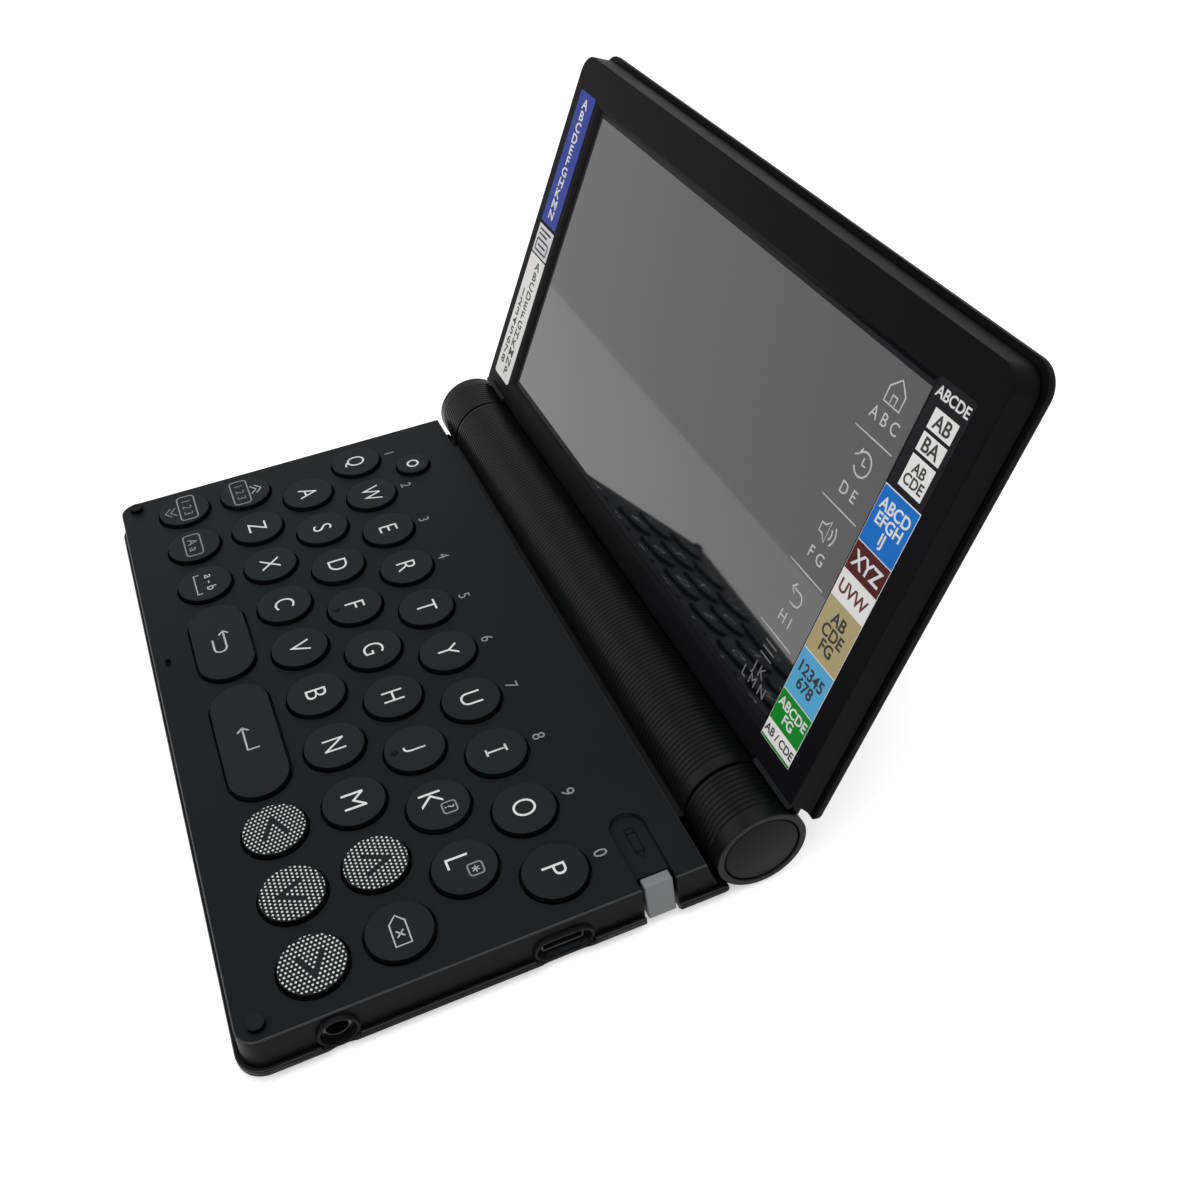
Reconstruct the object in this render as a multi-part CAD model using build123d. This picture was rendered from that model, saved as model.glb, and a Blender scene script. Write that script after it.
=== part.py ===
from build123d import *
import os
from math import atan, cos, degrees, radians, sin

# Electronic dictionary: a folding pocket reader with a lettered keyboard in the base, a wide touch
# screen in the lid, and a round battery barrel between them that is also the hinge.
# Millimetres. X runs along the hinge, Y from the front edge to the hinge, Z up. The origin is on the
# surface that the feet stand on, under the middle of the keyboard. The lid is drawn shut and then
# turned open about the hinge axis.

# ---------------------------------------------------------------- overall
lid_open_angle = 114.4
case_width = 154.0  # the two cells in the barrel need at least 140 of it
case_depth = 79.5
case_front_y = -40.0
plate_top_z = 9.4
foot_height = 1.0
corner_radius = 4.0
wall = 1.6
plate_thickness = 1.5
overcut = 1.0  # how far a cutter runs past the face that it opens

# ---------------------------------------------------------------- hinge barrel
barrel_radius = 8.4
barrel_wall = 1.05
barrel_set_back = 9.7
barrel_centre_z = 9.15
barrel_case_gap = 1.35
barrel_web_drop = 1.0
bulkhead_wall = 2.0
cell_radius = 7.1
cell_length = 50.2
cell_nub_radius = 2.7
cell_nub_length = 1.2
contact_room = 3.7
cover_end_land = 0.9
cover_from_angle = -126.0
cover_to_angle = -30.0
cover_gap = 0.12
contact_thickness = 0.5
contact_width = 9.0
contact_leaf_width = 4.0

# ---------------------------------------------------------------- lid knuckles
knuckle_gap = 0.7
knuckle_length = 12.6
knuckle_out = 0.5
knuckle_cap_radius = 6.9
knuckle_cap_depth = 1.5
knuckle_cap_gap = 0.25
shaft_radius = 2.0
shaft_running_gap = 0.1
shaft_in_knuckle = 6.5
web_front_step = 1.0
web_back_step = 5.9
web_end_inset = 2.1
knuckle_cap_drop = 0.15

# ---------------------------------------------------------------- case walls and tray
case_wall_bottom_z = 2.95
case_wall_flare = 0.5
tray_lip_out = 0.9
tray_lip_thickness = 0.65
tray_lip_top_z = 3.4
tray_floor = 1.2
tray_edge_bevel = 1.0
tray_tail = 3.7
tray_tail_gap = 0.9
shelf_inset = 0.3
seat_gap = 0.05

# ---------------------------------------------------------------- keyboard
keys_in_row = 10
key_rows = 4
key_side_margin = 9.5
key_rear_margin = 23.8
key_front_margin = 14.04
last_row_gap = 0.92  # how much farther the last row stands from the third
key_spacing = 2.18
key_sides = 24  # straight sides that stand for a round keytop, true to 0.05 mm
key_rise = 0.9
key_hole_gap = 0.4
key_travel = 0.8
left_keys_end = 2
right_keys_start = 7
back_key_length = 23.9
wide_key_gap = 2.9
power_key_radius = 3.8
power_key_right = 7.7
power_key_behind = 12.3
sheet_thickness = 0.5
sheet_margin = 2.0
rib_width = 4.0
rib_height = 0.7
rib_gap = 0.1
board_thickness = 1.0
board_margin = 1.0
board_channel_gap = 1.65
board_tab_side = 15.8
board_tab_behind = 5.0

# ---------------------------------------------------------------- stylus
stylus_inset = 8.9
stylus_length = 88.0
stylus_body_width = 4.2
stylus_body_height = 4.0
stylus_body_z = 4.7
stylus_body_bevel = 0.8
stylus_tip_length = 7.0
stylus_tip_radius = 0.6
stylus_head_width = 5.2
stylus_head_length = 3.4
stylus_head_top_drop = 0.2
stylus_head_bottom_z = 2.0
stylus_head_lean = 1.2
stylus_slot_gap = 0.55
stylus_reach = 0.9
groove_length = 16.4
groove_depth = 0.8
channel_wall = 1.0
channel_gap = 0.35
channel_height = 4.2

# ---------------------------------------------------------------- sockets, speaker, bumpers and feet
jack_from_front = 14.8
jack_z = 4.95
jack_rim_radius = 3.5
jack_rim_out = 0.9
jack_recess_radius = 2.95
jack_recess_depth = 1.2
jack_bore_radius = 1.8
jack_body_length = 14.0
jack_body_width = 6.0
jack_body_top_z = 6.8
jack_tip_wall = 1.0
part_gap = 0.3
socket_from_rear = 26.6
socket_z = 4.4
socket_rim_length = 10.8
socket_rim_height = 5.4
socket_rim_width = 0.6
socket_recess_depth = 1.2
socket_shell_width = 7.6
socket_shell_height = 2.7
socket_shell_length = 5.4
socket_shell_wall = 0.35
socket_tongue_width = 3.8
socket_tongue_thickness = 0.6
socket_tongue_length = 4.2
rim_clearance = 0.1
speaker_length = 20.0
speaker_width = 14.0
speaker_thickness = 1.4
speaker_inset_x = 37.0
speaker_from_rear = 27.5
grille_slots = 5
grille_slot_length = 10.0
grille_slot_width = 0.8
grille_slot_gap = 1.6
bumper_radius = 1.5
bumper_height = 1.0
bumper_inset_x = 3.0
bumper_inset_y = 3.6
front_foot_radius = 4.0
front_foot_inset_x = 13.0
front_foot_inset_y = 9.0
rear_foot_inset = 4.9
rear_foot_length = 8.0
rear_foot_width = 5.0
standoff_size = 3.0
standoff_inset_x = 17.0
standoff_inset_front = 6.0
standoff_inset_rear = 19.5

# ---------------------------------------------------------------- lid
lid_gap = 1.1
lid_side_out = 0.7
lid_front_out = 0.5
lid_hinge_clearance = 1.5
lid_corner_radius = 4.2
lid_wall = 1.5
lid_wall_height = 5.2
lid_wall_flare = 0.3
bezel_thickness = 1.5
window_margin_left = 13.1
window_margin_right = 13.6
window_margin_front = 7.7
window_margin_hinge = 13.8
window_bevel = 1.2
glass_recess = 0.9
glass_thickness = 0.7
glass_margin = 1.4
glass_gap = 0.1
lcd_thickness = 2.6
lcd_gap = 0.2
lcd_border = 2.4
lcd_edge = 1.1
icon_strip_width = 9.8
cover_thickness = 1.9
cover_skin = 1.1
cover_out = 0.7
cover_front_out = 1.1
cover_edge_round = 1.1
cover_groove = 0.5
cover_groove_depth = 0.7
cover_rear_corner = 1.2
cover_rear_inset = 6.6
cover_rear_bevel = 1.7

# ---------------------------------------------------------------- worked out from the sizes above
case_half = case_width / 2
case_rear_edge_y = case_front_y + case_depth
tray_top_inside_z = case_wall_bottom_z - seat_gap
plate_under_z = plate_top_z - plate_thickness
lid_half = case_half + lid_side_out
knuckle_end = lid_half + knuckle_out
knuckle_start = knuckle_end - knuckle_length
barrel_half = knuckle_start - knuckle_gap
bay_half = cell_length + contact_room
shaft_in_barrel = barrel_half - bay_half - bulkhead_wall
barrel_centre_y = case_rear_edge_y + barrel_set_back
barrel_inner_radius = barrel_radius - barrel_wall
case_rear_radius = barrel_radius + barrel_case_gap
case_rear_y = case_rear_edge_y + wall
tray_bottom_z = foot_height
tray_inside_z = tray_bottom_z + tray_floor
tray_half = case_half + case_wall_flare + tray_lip_out
tray_rear_y = case_rear_edge_y + tray_tail
rib_top_z = plate_under_z - key_travel - rib_gap
board_top_z = rib_top_z - rib_height - sheet_thickness
board_bottom_z = board_top_z - board_thickness
lid_face_z = plate_top_z + lid_gap
lid_front_y = case_front_y - lid_front_out
lid_rear_radius = barrel_radius + lid_hinge_clearance
lid_wall_top_z = lid_face_z + lid_wall_height
cover_under_z = lid_wall_top_z + cover_groove
cover_rear_edge_y = barrel_centre_y - cover_rear_inset
window_left = -lid_half + window_margin_left
window_right = lid_half - window_margin_right
window_front_y = lid_front_y + window_margin_front
window_rear_y = barrel_centre_y - window_margin_hinge
window_width = window_right - window_left
window_x = (window_right + window_left) / 2
window_depth = window_rear_y - window_front_y
window_y = (window_rear_y + window_front_y) / 2
stylus_y = case_rear_edge_y - stylus_inset
jack_y = case_front_y + jack_from_front
socket_y = case_rear_edge_y - socket_from_rear
speaker_x = case_half - speaker_inset_x
speaker_y = case_rear_edge_y - speaker_from_rear
grille_slot_pitch = grille_slot_width + grille_slot_gap
key_pitch = (case_width - 2 * key_side_margin) / (keys_in_row - 1)
row_span = case_depth - key_rear_margin - key_front_margin - last_row_gap
row_pitch = row_span / (key_rows - 1)
key_radius = (min(row_pitch, key_pitch) - key_spacing) / 2


# ---------------------------------------------------------------- shared helpers
def box(x0, x1, y0, y1, z0, z1):
    """A block given by its six faces."""
    corner = Pos((x0 + x1) / 2, (y0 + y1) / 2, (z0 + z1) / 2)
    return corner * Box(x1 - x0, y1 - y0, z1 - z0)


def rod(radius, x0, x1, y=barrel_centre_y, z=barrel_centre_z):
    """A cylinder along X, by default on the hinge axis."""
    return Pos((x0 + x1) / 2, y, z) * Rot(0, 90, 0) * Cylinder(radius, x1 - x0)


def post(radius, x, y, z0, z1):
    """An upright cylinder."""
    return Pos(x, y, (z0 + z1) / 2) * Cylinder(radius, z1 - z0)


def tray_outline(half, front_y, rear_y, radius):
    """A rectangle whose two front corners are rounded."""
    sheet = Pos(0, (front_y + rear_y) / 2) * Rectangle(2 * half, rear_y - front_y)
    return fillet(sheet.vertices().group_by(Axis.Y)[0], radius)


def flared_block(half, front_y, rear_y, radius, z0, height, lean):
    """A block with rounded front corners whose sides lean by the given amount as it rises."""
    outline = Pos(0, 0, z0) * tray_outline(half, front_y, rear_y, radius)
    return extrude(outline, height, taper=degrees(atan(lean / height)))


def stadium(length, height, x0, x1, y, z):
    """A flat-sided oval bar along X, lying on its long side."""
    profile = Plane(origin=(x0, y, z), x_dir=(0, 1, 0), z_dir=(1, 0, 0)) * SlotOverall(length, height)
    return extrude(profile, x1 - x0)


def mirrored(shape):
    """The shape and its twin on the other side of the middle."""
    return [shape, mirror(shape, Plane.YZ)]


def opened(shape):
    """A lid piece turned from shut to its resting angle about the hinge axis."""
    hinge = Axis((0, barrel_centre_y, barrel_centre_z), (1, 0, 0))
    return shape.rotate(hinge, -lid_open_angle)


def save(name, *solids):
    """Writes one node, as a single solid or as a group of separate ones."""
    shape = solids[0] if len(solids) == 1 else Compound(children=list(solids))
    export_step(shape, f"parts/{name}.step")


# ---------------------------------------------------------------- where the keys stand
def row_x(column, shift=0.0):
    return key_side_margin - case_half + column * key_pitch + shift


row_y = [case_rear_edge_y - key_rear_margin - row * row_pitch for row in range(key_rows)]
row_y[-1] -= last_row_gap

round_keys = {}
for column, letter in enumerate("qwertyuiop"):
    round_keys[letter] = (row_x(column), row_y[0])
for column, letter in enumerate("asdfghjkl"):
    round_keys[letter] = (row_x(column, key_pitch / 2), row_y[1])
for column, name in enumerate(["page_up", *"zxcvbnm", "up", "delete"]):
    round_keys[name] = (row_x(column), row_y[2])
for column, name in enumerate(["page_down", "shift", "space"], left_keys_end - 2):
    round_keys[name] = (row_x(column), row_y[3])
for column, name in enumerate(["left", "down", "right"], right_keys_start):
    round_keys[name] = (row_x(column), row_y[3])
back_left = row_x(left_keys_end) + key_radius + wide_key_gap
enter_left = back_left + back_key_length + wide_key_gap
enter_right = row_x(right_keys_start) - key_radius - wide_key_gap
wide_keys = {
    "back": (back_left + back_key_length / 2, back_key_length),
    "enter": ((enter_left + enter_right) / 2, enter_right - enter_left),
}
power_key_x = row_x(0) + power_key_right
power_key_y = row_y[0] + power_key_behind


def wide_key_outline(length, grow=0.0):
    """Two straight sides joined by half-round ends."""
    return SlotOverall(length + 2 * grow, 2 * (key_radius + grow))


def key_body(outline):
    """A keytop from its flat outline, standing in the plate and clear of the sheet below."""
    height = plate_top_z + key_rise - plate_under_z
    return extrude(Pos(0, 0, plate_under_z) * outline, height)


def make_keys():
    for name, (x, y) in round_keys.items():
        save(f"key_{name}", Pos(x, y) * key_body(RegularPolygon(key_radius, key_sides)))
    for name, (x, length) in wide_keys.items():
        save(f"key_{name}", Pos(x, row_y[3]) * key_body(wide_key_outline(length)))
    save("key_power", Pos(power_key_x, power_key_y) * key_body(RegularPolygon(power_key_radius, key_sides)))


def key_holes():
    """Cutters through the keyboard plate, one round or oval hole for each key."""
    depth = plate_thickness + 2 * overcut
    floor = Pos(0, 0, plate_under_z - overcut)
    around = extrude(floor * RegularPolygon(key_radius + key_hole_gap, key_sides), depth)
    holes = [Pos(x, y) * around for x, y in round_keys.values()]
    for x, length in wide_keys.values():
        oval = wide_key_outline(length, key_hole_gap)
        holes.append(Pos(x, row_y[3]) * extrude(floor * oval, depth))
    small = extrude(floor * RegularPolygon(power_key_radius + key_hole_gap, key_sides), depth)
    holes.append(Pos(power_key_x, power_key_y) * small)
    return holes


# ---------------------------------------------------------------- base casing
def stylus_slot():
    """The notch in the right wall that the stylus head fills."""
    half = stylus_head_width / 2 + stylus_slot_gap
    inner_x = case_half + stylus_reach - stylus_head_length - stylus_slot_gap
    top = plate_top_z + overcut
    return box(inner_x, tray_half + overcut, stylus_y - half, stylus_y + half, 0, top)


def finger_groove():
    """The shallow round-ended dip in the plate that a fingernail uses to push the stylus out."""
    width = stylus_head_width + 2 * stylus_slot_gap
    start = case_half - groove_length + width / 2
    end = case_half + 2 * overcut
    sheet = Pos(start, stylus_y) * Circle(width / 2)
    sheet += Pos((start + end) / 2, stylus_y) * Rectangle(end - start, width)
    return extrude(Pos(0, 0, plate_top_z - groove_depth) * sheet, groove_depth + overcut)


def socket_bosses():
    """The raised rims on the right wall round the headphone jack and the data socket."""
    outer = case_half + jack_rim_out
    inner = case_half - wall
    jack = rod(jack_rim_radius, inner, outer, jack_y, jack_z)
    data = stadium(socket_rim_length, socket_rim_height, inner, outer, socket_y, socket_z)
    return jack + data


def socket_recesses():
    """What is cut out of those rims: a plug recess and a hole for the socket behind it."""
    outer = case_half + jack_rim_out
    inner = case_half - wall - overcut
    jack = rod(jack_recess_radius, inner, outer + overcut, jack_y, jack_z)
    length = socket_rim_length - 2 * socket_rim_width
    height = socket_rim_height - 2 * socket_rim_width
    floor = outer - socket_recess_depth
    data = stadium(length, height, floor, outer + overcut, socket_y, socket_z)
    shell = box(
        inner,
        outer,
        socket_y - socket_shell_width / 2 - rim_clearance,
        socket_y + socket_shell_width / 2 + rim_clearance,
        socket_z - socket_shell_height / 2 - rim_clearance,
        socket_z + socket_shell_height / 2 + rim_clearance,
    )
    return [jack, data, shell]


def make_top_case():
    """The keyboard plate and its leaning side walls, hollowed round the barrel, as one moulding."""
    height = plate_top_z - case_wall_bottom_z
    half = case_half + case_wall_flare
    front = case_front_y - case_wall_flare
    case = flared_block(half, front, case_rear_y, corner_radius, case_wall_bottom_z, height, case_wall_flare)
    hollow = flared_block(
        half - wall,
        front + wall,
        case_rear_y,
        corner_radius - wall,
        case_wall_bottom_z,
        height - plate_thickness,
        case_wall_flare,
    )
    hollow -= rod(case_rear_radius + wall, -half, half)
    case -= hollow
    case -= rod(case_rear_radius, -half, half)
    case = case + socket_bosses()
    case = case - key_holes() - socket_recesses()
    case = case - [finger_groove(), stylus_slot()]
    save("base_top_case", case)


def make_tray():
    """The bottom shell: a floor, a shelf that carries the top case, and a lip standing round it."""
    front = case_front_y - case_wall_flare - tray_lip_out
    radius = corner_radius + tray_lip_out
    outline = Pos(0, 0, tray_bottom_z) * tray_outline(tray_half, front, tray_rear_y, radius)
    tray = extrude(outline, tray_lip_top_z - tray_bottom_z)
    under = tray.edges().group_by(Axis.Z)[0]
    tray = chamfer([edge for edge in under if edge.center().Y < tray_rear_y - wall], tray_edge_bevel)
    lip_gap = tray_lip_out - tray_lip_thickness
    seat_half = tray_half - tray_lip_thickness
    seat = tray_outline(seat_half, front + tray_lip_thickness, case_rear_y, corner_radius + lip_gap)
    tray -= extrude(Pos(0, 0, tray_top_inside_z) * seat, tray_lip_top_z)
    shelf = wall + lip_gap + tray_lip_thickness + shelf_inset
    well = tray_outline(tray_half - shelf, front + shelf, case_rear_y, corner_radius - wall)
    inside = extrude(Pos(0, 0, tray_inside_z) * well, tray_lip_top_z)
    tray -= inside - rod(case_rear_radius + wall + shelf_inset, -tray_half, tray_half)
    top = tray_lip_top_z + overcut
    tray -= box(-seat_half, seat_half, case_rear_y, tray_rear_y + overcut, tray_inside_z, top)
    tray -= rod(barrel_radius + tray_tail_gap, -tray_half, tray_half)
    return tray


def tray_fittings():
    """What stands on the tray floor: board standoffs and the stylus channel."""
    posts = []
    standoff_x = case_half - standoff_inset_x
    for x in (-standoff_x, standoff_x - standoff_size):
        for y in (case_front_y + standoff_inset_front, case_rear_edge_y - standoff_inset_rear):
            posts.append(box(x, x + standoff_size, y, y + standoff_size, tray_inside_z, board_bottom_z))
    inner = stylus_body_width / 2 + channel_gap
    start = case_half + stylus_reach - stylus_length - channel_gap
    end = case_half - wall - channel_wall
    top = tray_inside_z + channel_height
    for side in (-1, 1):
        near, far = sorted((stylus_y + side * inner, stylus_y + side * (inner + channel_wall)))
        posts.append(box(start, end, near, far, tray_inside_z, top))
    stop = (stylus_y - inner - channel_wall, stylus_y + inner + channel_wall)
    posts.append(box(start - channel_wall, start, *stop, tray_inside_z, top))
    return posts


def make_bottom_tray():
    tray = make_tray() + tray_fittings()
    first = speaker_y - (grille_slots - 1) / 2 * grille_slot_pitch
    for slot in range(grille_slots):
        y = first + slot * grille_slot_pitch
        bar = Rectangle(grille_slot_length, grille_slot_width)
        depth = tray_floor + 2 * overcut
        tray -= extrude(Pos(speaker_x, y, tray_bottom_z - overcut) * bar, depth)
    tray -= stylus_slot()
    outer = tray_half + overcut
    start = case_half - wall - rim_clearance
    tray -= rod(jack_rim_radius + rim_clearance, start, outer, jack_y, jack_z)
    long_side = socket_rim_length + 2 * rim_clearance
    short_side = socket_rim_height + 2 * rim_clearance
    tray -= stadium(long_side, short_side, start, outer, socket_y, socket_z)
    save("base_bottom_tray", tray)


# ---------------------------------------------------------------- barrel, cells and cover
def barrel_sector(from_angle, to_angle, length):
    """A wedge about the hinge axis, from one angle to another, measured from +Y towards +Z."""
    reach = 2 * barrel_radius
    rays = [from_angle, (from_angle + to_angle) / 2, to_angle]
    rim = [(reach * cos(radians(a)), reach * sin(radians(a))) for a in rays]
    wedge = make_face(Polyline((0, 0), *rim, (0, 0)))
    section = Plane(
        origin=(-length / 2, barrel_centre_y, barrel_centre_z), x_dir=(0, 1, 0), z_dir=(1, 0, 0)
    )
    return extrude(section * wedge, length)


def make_barrel():
    """The fixed tube behind the keyboard: two bulkheads, a cell bay and the web that joins the case."""
    web = rod(case_rear_radius, -barrel_half, barrel_half)
    web = web & box(
        -barrel_half,
        barrel_half,
        case_front_y,
        barrel_centre_y,
        case_wall_bottom_z,
        plate_top_z - barrel_web_drop,
    )
    barrel = rod(barrel_radius, -barrel_half, barrel_half) + web
    barrel -= rod(barrel_inner_radius, -bay_half, bay_half)
    opening = 2 * (bay_half - cover_end_land + cover_gap)
    barrel -= barrel_sector(cover_from_angle, cover_to_angle, opening)
    for side in (-1, 1):
        bore_end = barrel_half - shaft_in_barrel - shaft_running_gap
        ends = sorted((side * bore_end, side * (barrel_half + overcut)))
        barrel -= rod(shaft_radius + shaft_running_gap, *ends)
    save("hinge_barrel", barrel)


def make_battery_cover():
    """The curved door under the barrel, flush with the tube."""
    half = bay_half - cover_end_land
    shell = rod(barrel_radius, -half, half) - rod(barrel_inner_radius, -half - overcut, half + overcut)
    edge = degrees(cover_gap / barrel_radius)
    reach = 2 * (half + overcut)
    cover = shell & barrel_sector(cover_from_angle + edge, cover_to_angle - edge, reach)
    save("battery_cover", cover)


def contact_block(width, side, x0, x1):
    """A square block on the barrel's axis, on the given side of the middle."""
    centre = Pos(side * (x0 + x1) / 2, barrel_centre_y, barrel_centre_z)
    return centre * Box(x1 - x0, width, width)


def make_cells():
    """Two round cells end to end, each with its raised positive end towards +X, and their contacts."""
    cells = []
    for start in (-cell_length, 0.0):
        body = rod(cell_radius, start, start + cell_length - cell_nub_length)
        cells.append(body + rod(cell_nub_radius, start, start + cell_length))
    save("battery_cells", *cells)
    contacts = []
    for side in (-1, 1):
        plate = contact_block(contact_width, side, bay_half - contact_thickness, bay_half)
        contacts.append(plate + contact_block(contact_leaf_width, side, cell_length, bay_half))
    save("battery_contacts", *contacts)


# ---------------------------------------------------------------- electronics in the base
def socket_bay(x, y, half_width):
    """The room left in the board and key sheet beside a socket on the right wall."""
    return box(x - part_gap, tray_half, y - half_width - part_gap, y + half_width + part_gap, 0, plate_top_z)


def socket_bays():
    jack = socket_bay(case_half - jack_body_length, jack_y, jack_body_width / 2)
    data = socket_bay(case_half - socket_rim_width - socket_shell_length, socket_y, socket_shell_width / 2)
    return [jack, data]


def board_area(inset, z0, z1):
    """The board's outline: the keyboard area and a tab that reaches under the power key."""
    edge_x = case_half - wall - board_margin - inset
    front_y = case_front_y + wall + board_margin + inset
    channel_y = stylus_y - stylus_body_width / 2 - channel_gap - channel_wall
    area = box(-edge_x, edge_x, front_y, channel_y - board_channel_gap - inset, z0, z1)
    tab_right = power_key_x + board_tab_side - inset
    area += box(-edge_x, tab_right, front_y, power_key_y + board_tab_behind - inset, z0, z1)
    return area - socket_bays()


def make_board_and_sheet():
    """The main circuit board and, on it, the rubber sheet with a raised rib under each row of keys."""
    save("main_board", board_area(0, board_bottom_z, board_top_z))
    sheet_top_z = board_top_z + sheet_thickness
    sheet = board_area(sheet_margin, board_top_z, sheet_top_z)
    rib_half = -row_x(0)
    for y in row_y:
        sheet += box(-rib_half, rib_half, y - rib_width / 2, y + rib_width / 2, sheet_top_z, rib_top_z)
    save("key_sheet", sheet - socket_bays())


def make_jack():
    """The headphone socket: a round nose in the case rim and a square body, bored for the plug."""
    nose_end = case_half + jack_rim_out - jack_recess_depth
    back = case_half - jack_body_length
    front = case_half - wall - rim_clearance
    body = box(
        back,
        front,
        jack_y - jack_body_width / 2,
        jack_y + jack_body_width / 2,
        tray_inside_z,
        jack_body_top_z,
    )
    body += rod(jack_recess_radius - rim_clearance, front, nose_end, jack_y, jack_z)
    body -= rod(jack_bore_radius, back + jack_tip_wall, nose_end + overcut, jack_y, jack_z)
    save("headphone_jack", body)


def make_data_socket():
    """A small flat metal shell with a plastic tongue inside it."""
    mouth_x = case_half + jack_rim_out - socket_recess_depth
    back_x = mouth_x - socket_shell_length
    half_width = socket_shell_width / 2
    half_height = socket_shell_height / 2
    shell = box(
        back_x,
        mouth_x,
        socket_y - half_width,
        socket_y + half_width,
        socket_z - half_height,
        socket_z + half_height,
    )
    shell -= box(
        back_x + socket_shell_wall,
        mouth_x + overcut,
        socket_y - half_width + socket_shell_wall,
        socket_y + half_width - socket_shell_wall,
        socket_z - half_height + socket_shell_wall,
        socket_z + half_height - socket_shell_wall,
    )
    shell += box(
        back_x,
        back_x + socket_shell_wall + socket_tongue_length,
        socket_y - socket_tongue_width / 2,
        socket_y + socket_tongue_width / 2,
        socket_z - socket_tongue_thickness / 2,
        socket_z + socket_tongue_thickness / 2,
    )
    save("data_socket", shell)


def make_speaker():
    save(
        "speaker",
        box(
            speaker_x - speaker_length / 2,
            speaker_x + speaker_length / 2,
            speaker_y - speaker_width / 2,
            speaker_y + speaker_width / 2,
            tray_inside_z,
            tray_inside_z + speaker_thickness,
        ),
    )


# ---------------------------------------------------------------- bumpers and feet
def make_pads():
    """Two bumpers that the shut lid rests on, two front feet and two feet under the barrel."""
    bumper_x = case_half - bumper_inset_x
    bumper_y = case_front_y + bumper_inset_y
    top_z = plate_top_z + bumper_height
    bumpers = [post(bumper_radius, x, bumper_y, plate_top_z, top_z) for x in (-bumper_x, bumper_x)]
    save("corner_bumpers", *bumpers)
    foot_x = case_half - front_foot_inset_x
    foot_y = case_front_y + front_foot_inset_y
    feet = [post(front_foot_radius, x, foot_y, 0, tray_bottom_z) for x in (-foot_x, foot_x)]
    for x in (rear_foot_inset - barrel_half, barrel_half - rear_foot_inset):
        pad = box(
            x - rear_foot_length / 2,
            x + rear_foot_length / 2,
            barrel_centre_y - rear_foot_width / 2,
            barrel_centre_y + rear_foot_width / 2,
            0,
            barrel_centre_z - barrel_radius / 2,
        )
        feet.append(pad - rod(barrel_radius, -case_half, case_half))
    save("rubber_feet", *feet)


# ---------------------------------------------------------------- stylus
def make_stylus():
    """A slim four-sided pen with a tapered tip and a tall flat head that fills the wall slot."""
    head_end = case_half + stylus_reach
    head_start = head_end - stylus_head_length
    body_start = head_end - stylus_length + stylus_tip_length
    section = Plane(origin=(body_start, stylus_y, stylus_body_z), x_dir=(0, 1, 0), z_dir=(1, 0, 0))
    outline = Rectangle(stylus_body_width, stylus_body_height)
    outline = chamfer(outline.vertices(), stylus_body_bevel)
    body = extrude(section * outline, head_start - body_start)
    tip_angle = degrees(atan((stylus_body_height / 2 - stylus_tip_radius) / stylus_tip_length))
    tip = extrude(section * outline, -stylus_tip_length, taper=tip_angle)
    half = stylus_head_width / 2
    head_top_z = plate_top_z - stylus_head_top_drop
    profile = Polyline(
        (head_start, stylus_head_bottom_z),
        (head_end, stylus_head_bottom_z),
        (head_end - stylus_head_lean, head_top_z),
        (head_start, head_top_z),
        (head_start, stylus_head_bottom_z),
    )
    side = Plane(origin=(0, stylus_y + half, 0), x_dir=(1, 0, 0), z_dir=(0, -1, 0))
    head = extrude(side * make_face(profile), stylus_head_width)
    save("stylus", body + tip + head)


# ---------------------------------------------------------------- lid, drawn shut
def lid_shell(inset, z0, height, flare):
    """A lid-shaped block with its concave rear edge wrapped round the hinge barrel."""
    half = lid_half - inset
    front = lid_front_y + inset
    block = flared_block(half, front, barrel_centre_y, lid_corner_radius - inset, z0, height, -flare)
    reach = half + lid_wall_flare + overcut
    return block - rod(lid_rear_radius + inset, -reach, reach)


def make_bezel():
    """The lid's inner frame: a plate round the screen with leaning walls and a bevelled window."""
    bezel = lid_shell(0, lid_face_z, lid_wall_height, lid_wall_flare)
    hollow_z = lid_face_z + bezel_thickness
    bezel -= lid_shell(lid_wall, hollow_z, lid_wall_height, lid_wall_flare)
    opening = Pos(window_x, window_y, lid_face_z) * Rectangle(window_width, window_depth)
    bevel_angle = degrees(atan(window_bevel / glass_recess))
    bezel -= extrude(opening, glass_recess, taper=bevel_angle)
    pocket = glass_block(glass_gap, bezel_thickness)
    save("screen_bezel", opened(bezel - pocket))


def glass_block(gap, thickness):
    """The glass, or with a gap the pocket that it sits in."""
    reach = glass_margin - window_bevel + gap
    sheet = Rectangle(window_width + 2 * reach, window_depth + 2 * reach)
    return extrude(Pos(window_x, window_y, lid_face_z + glass_recess) * sheet, thickness)


def make_screen():
    """The touch glass and the display module behind it."""
    save("touch_glass", opened(glass_block(0, glass_thickness)))
    display_z = lid_face_z + glass_recess + glass_thickness + lcd_gap
    save(
        "lcd_module",
        opened(
            box(
                window_left - lcd_border,
                window_right - icon_strip_width,
                window_front_y - lcd_edge,
                window_rear_y + lcd_edge,
                display_z,
                display_z + lcd_thickness,
            )
        ),
    )


def cover_wedge(half):
    """What is cut off the cover's hinge edge to bevel it."""
    rear = cover_rear_edge_y + overcut
    top = cover_under_z + cover_thickness + overcut
    reach = cover_rear_bevel + 2 * overcut
    corner = make_face(Polyline((rear - reach, top), (rear, top), (rear, top - reach), (rear - reach, top)))
    section = Plane(origin=(-half, 0, 0), x_dir=(0, 1, 0), z_dir=(1, 0, 0))
    return extrude(section * corner, 2 * half)


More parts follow.
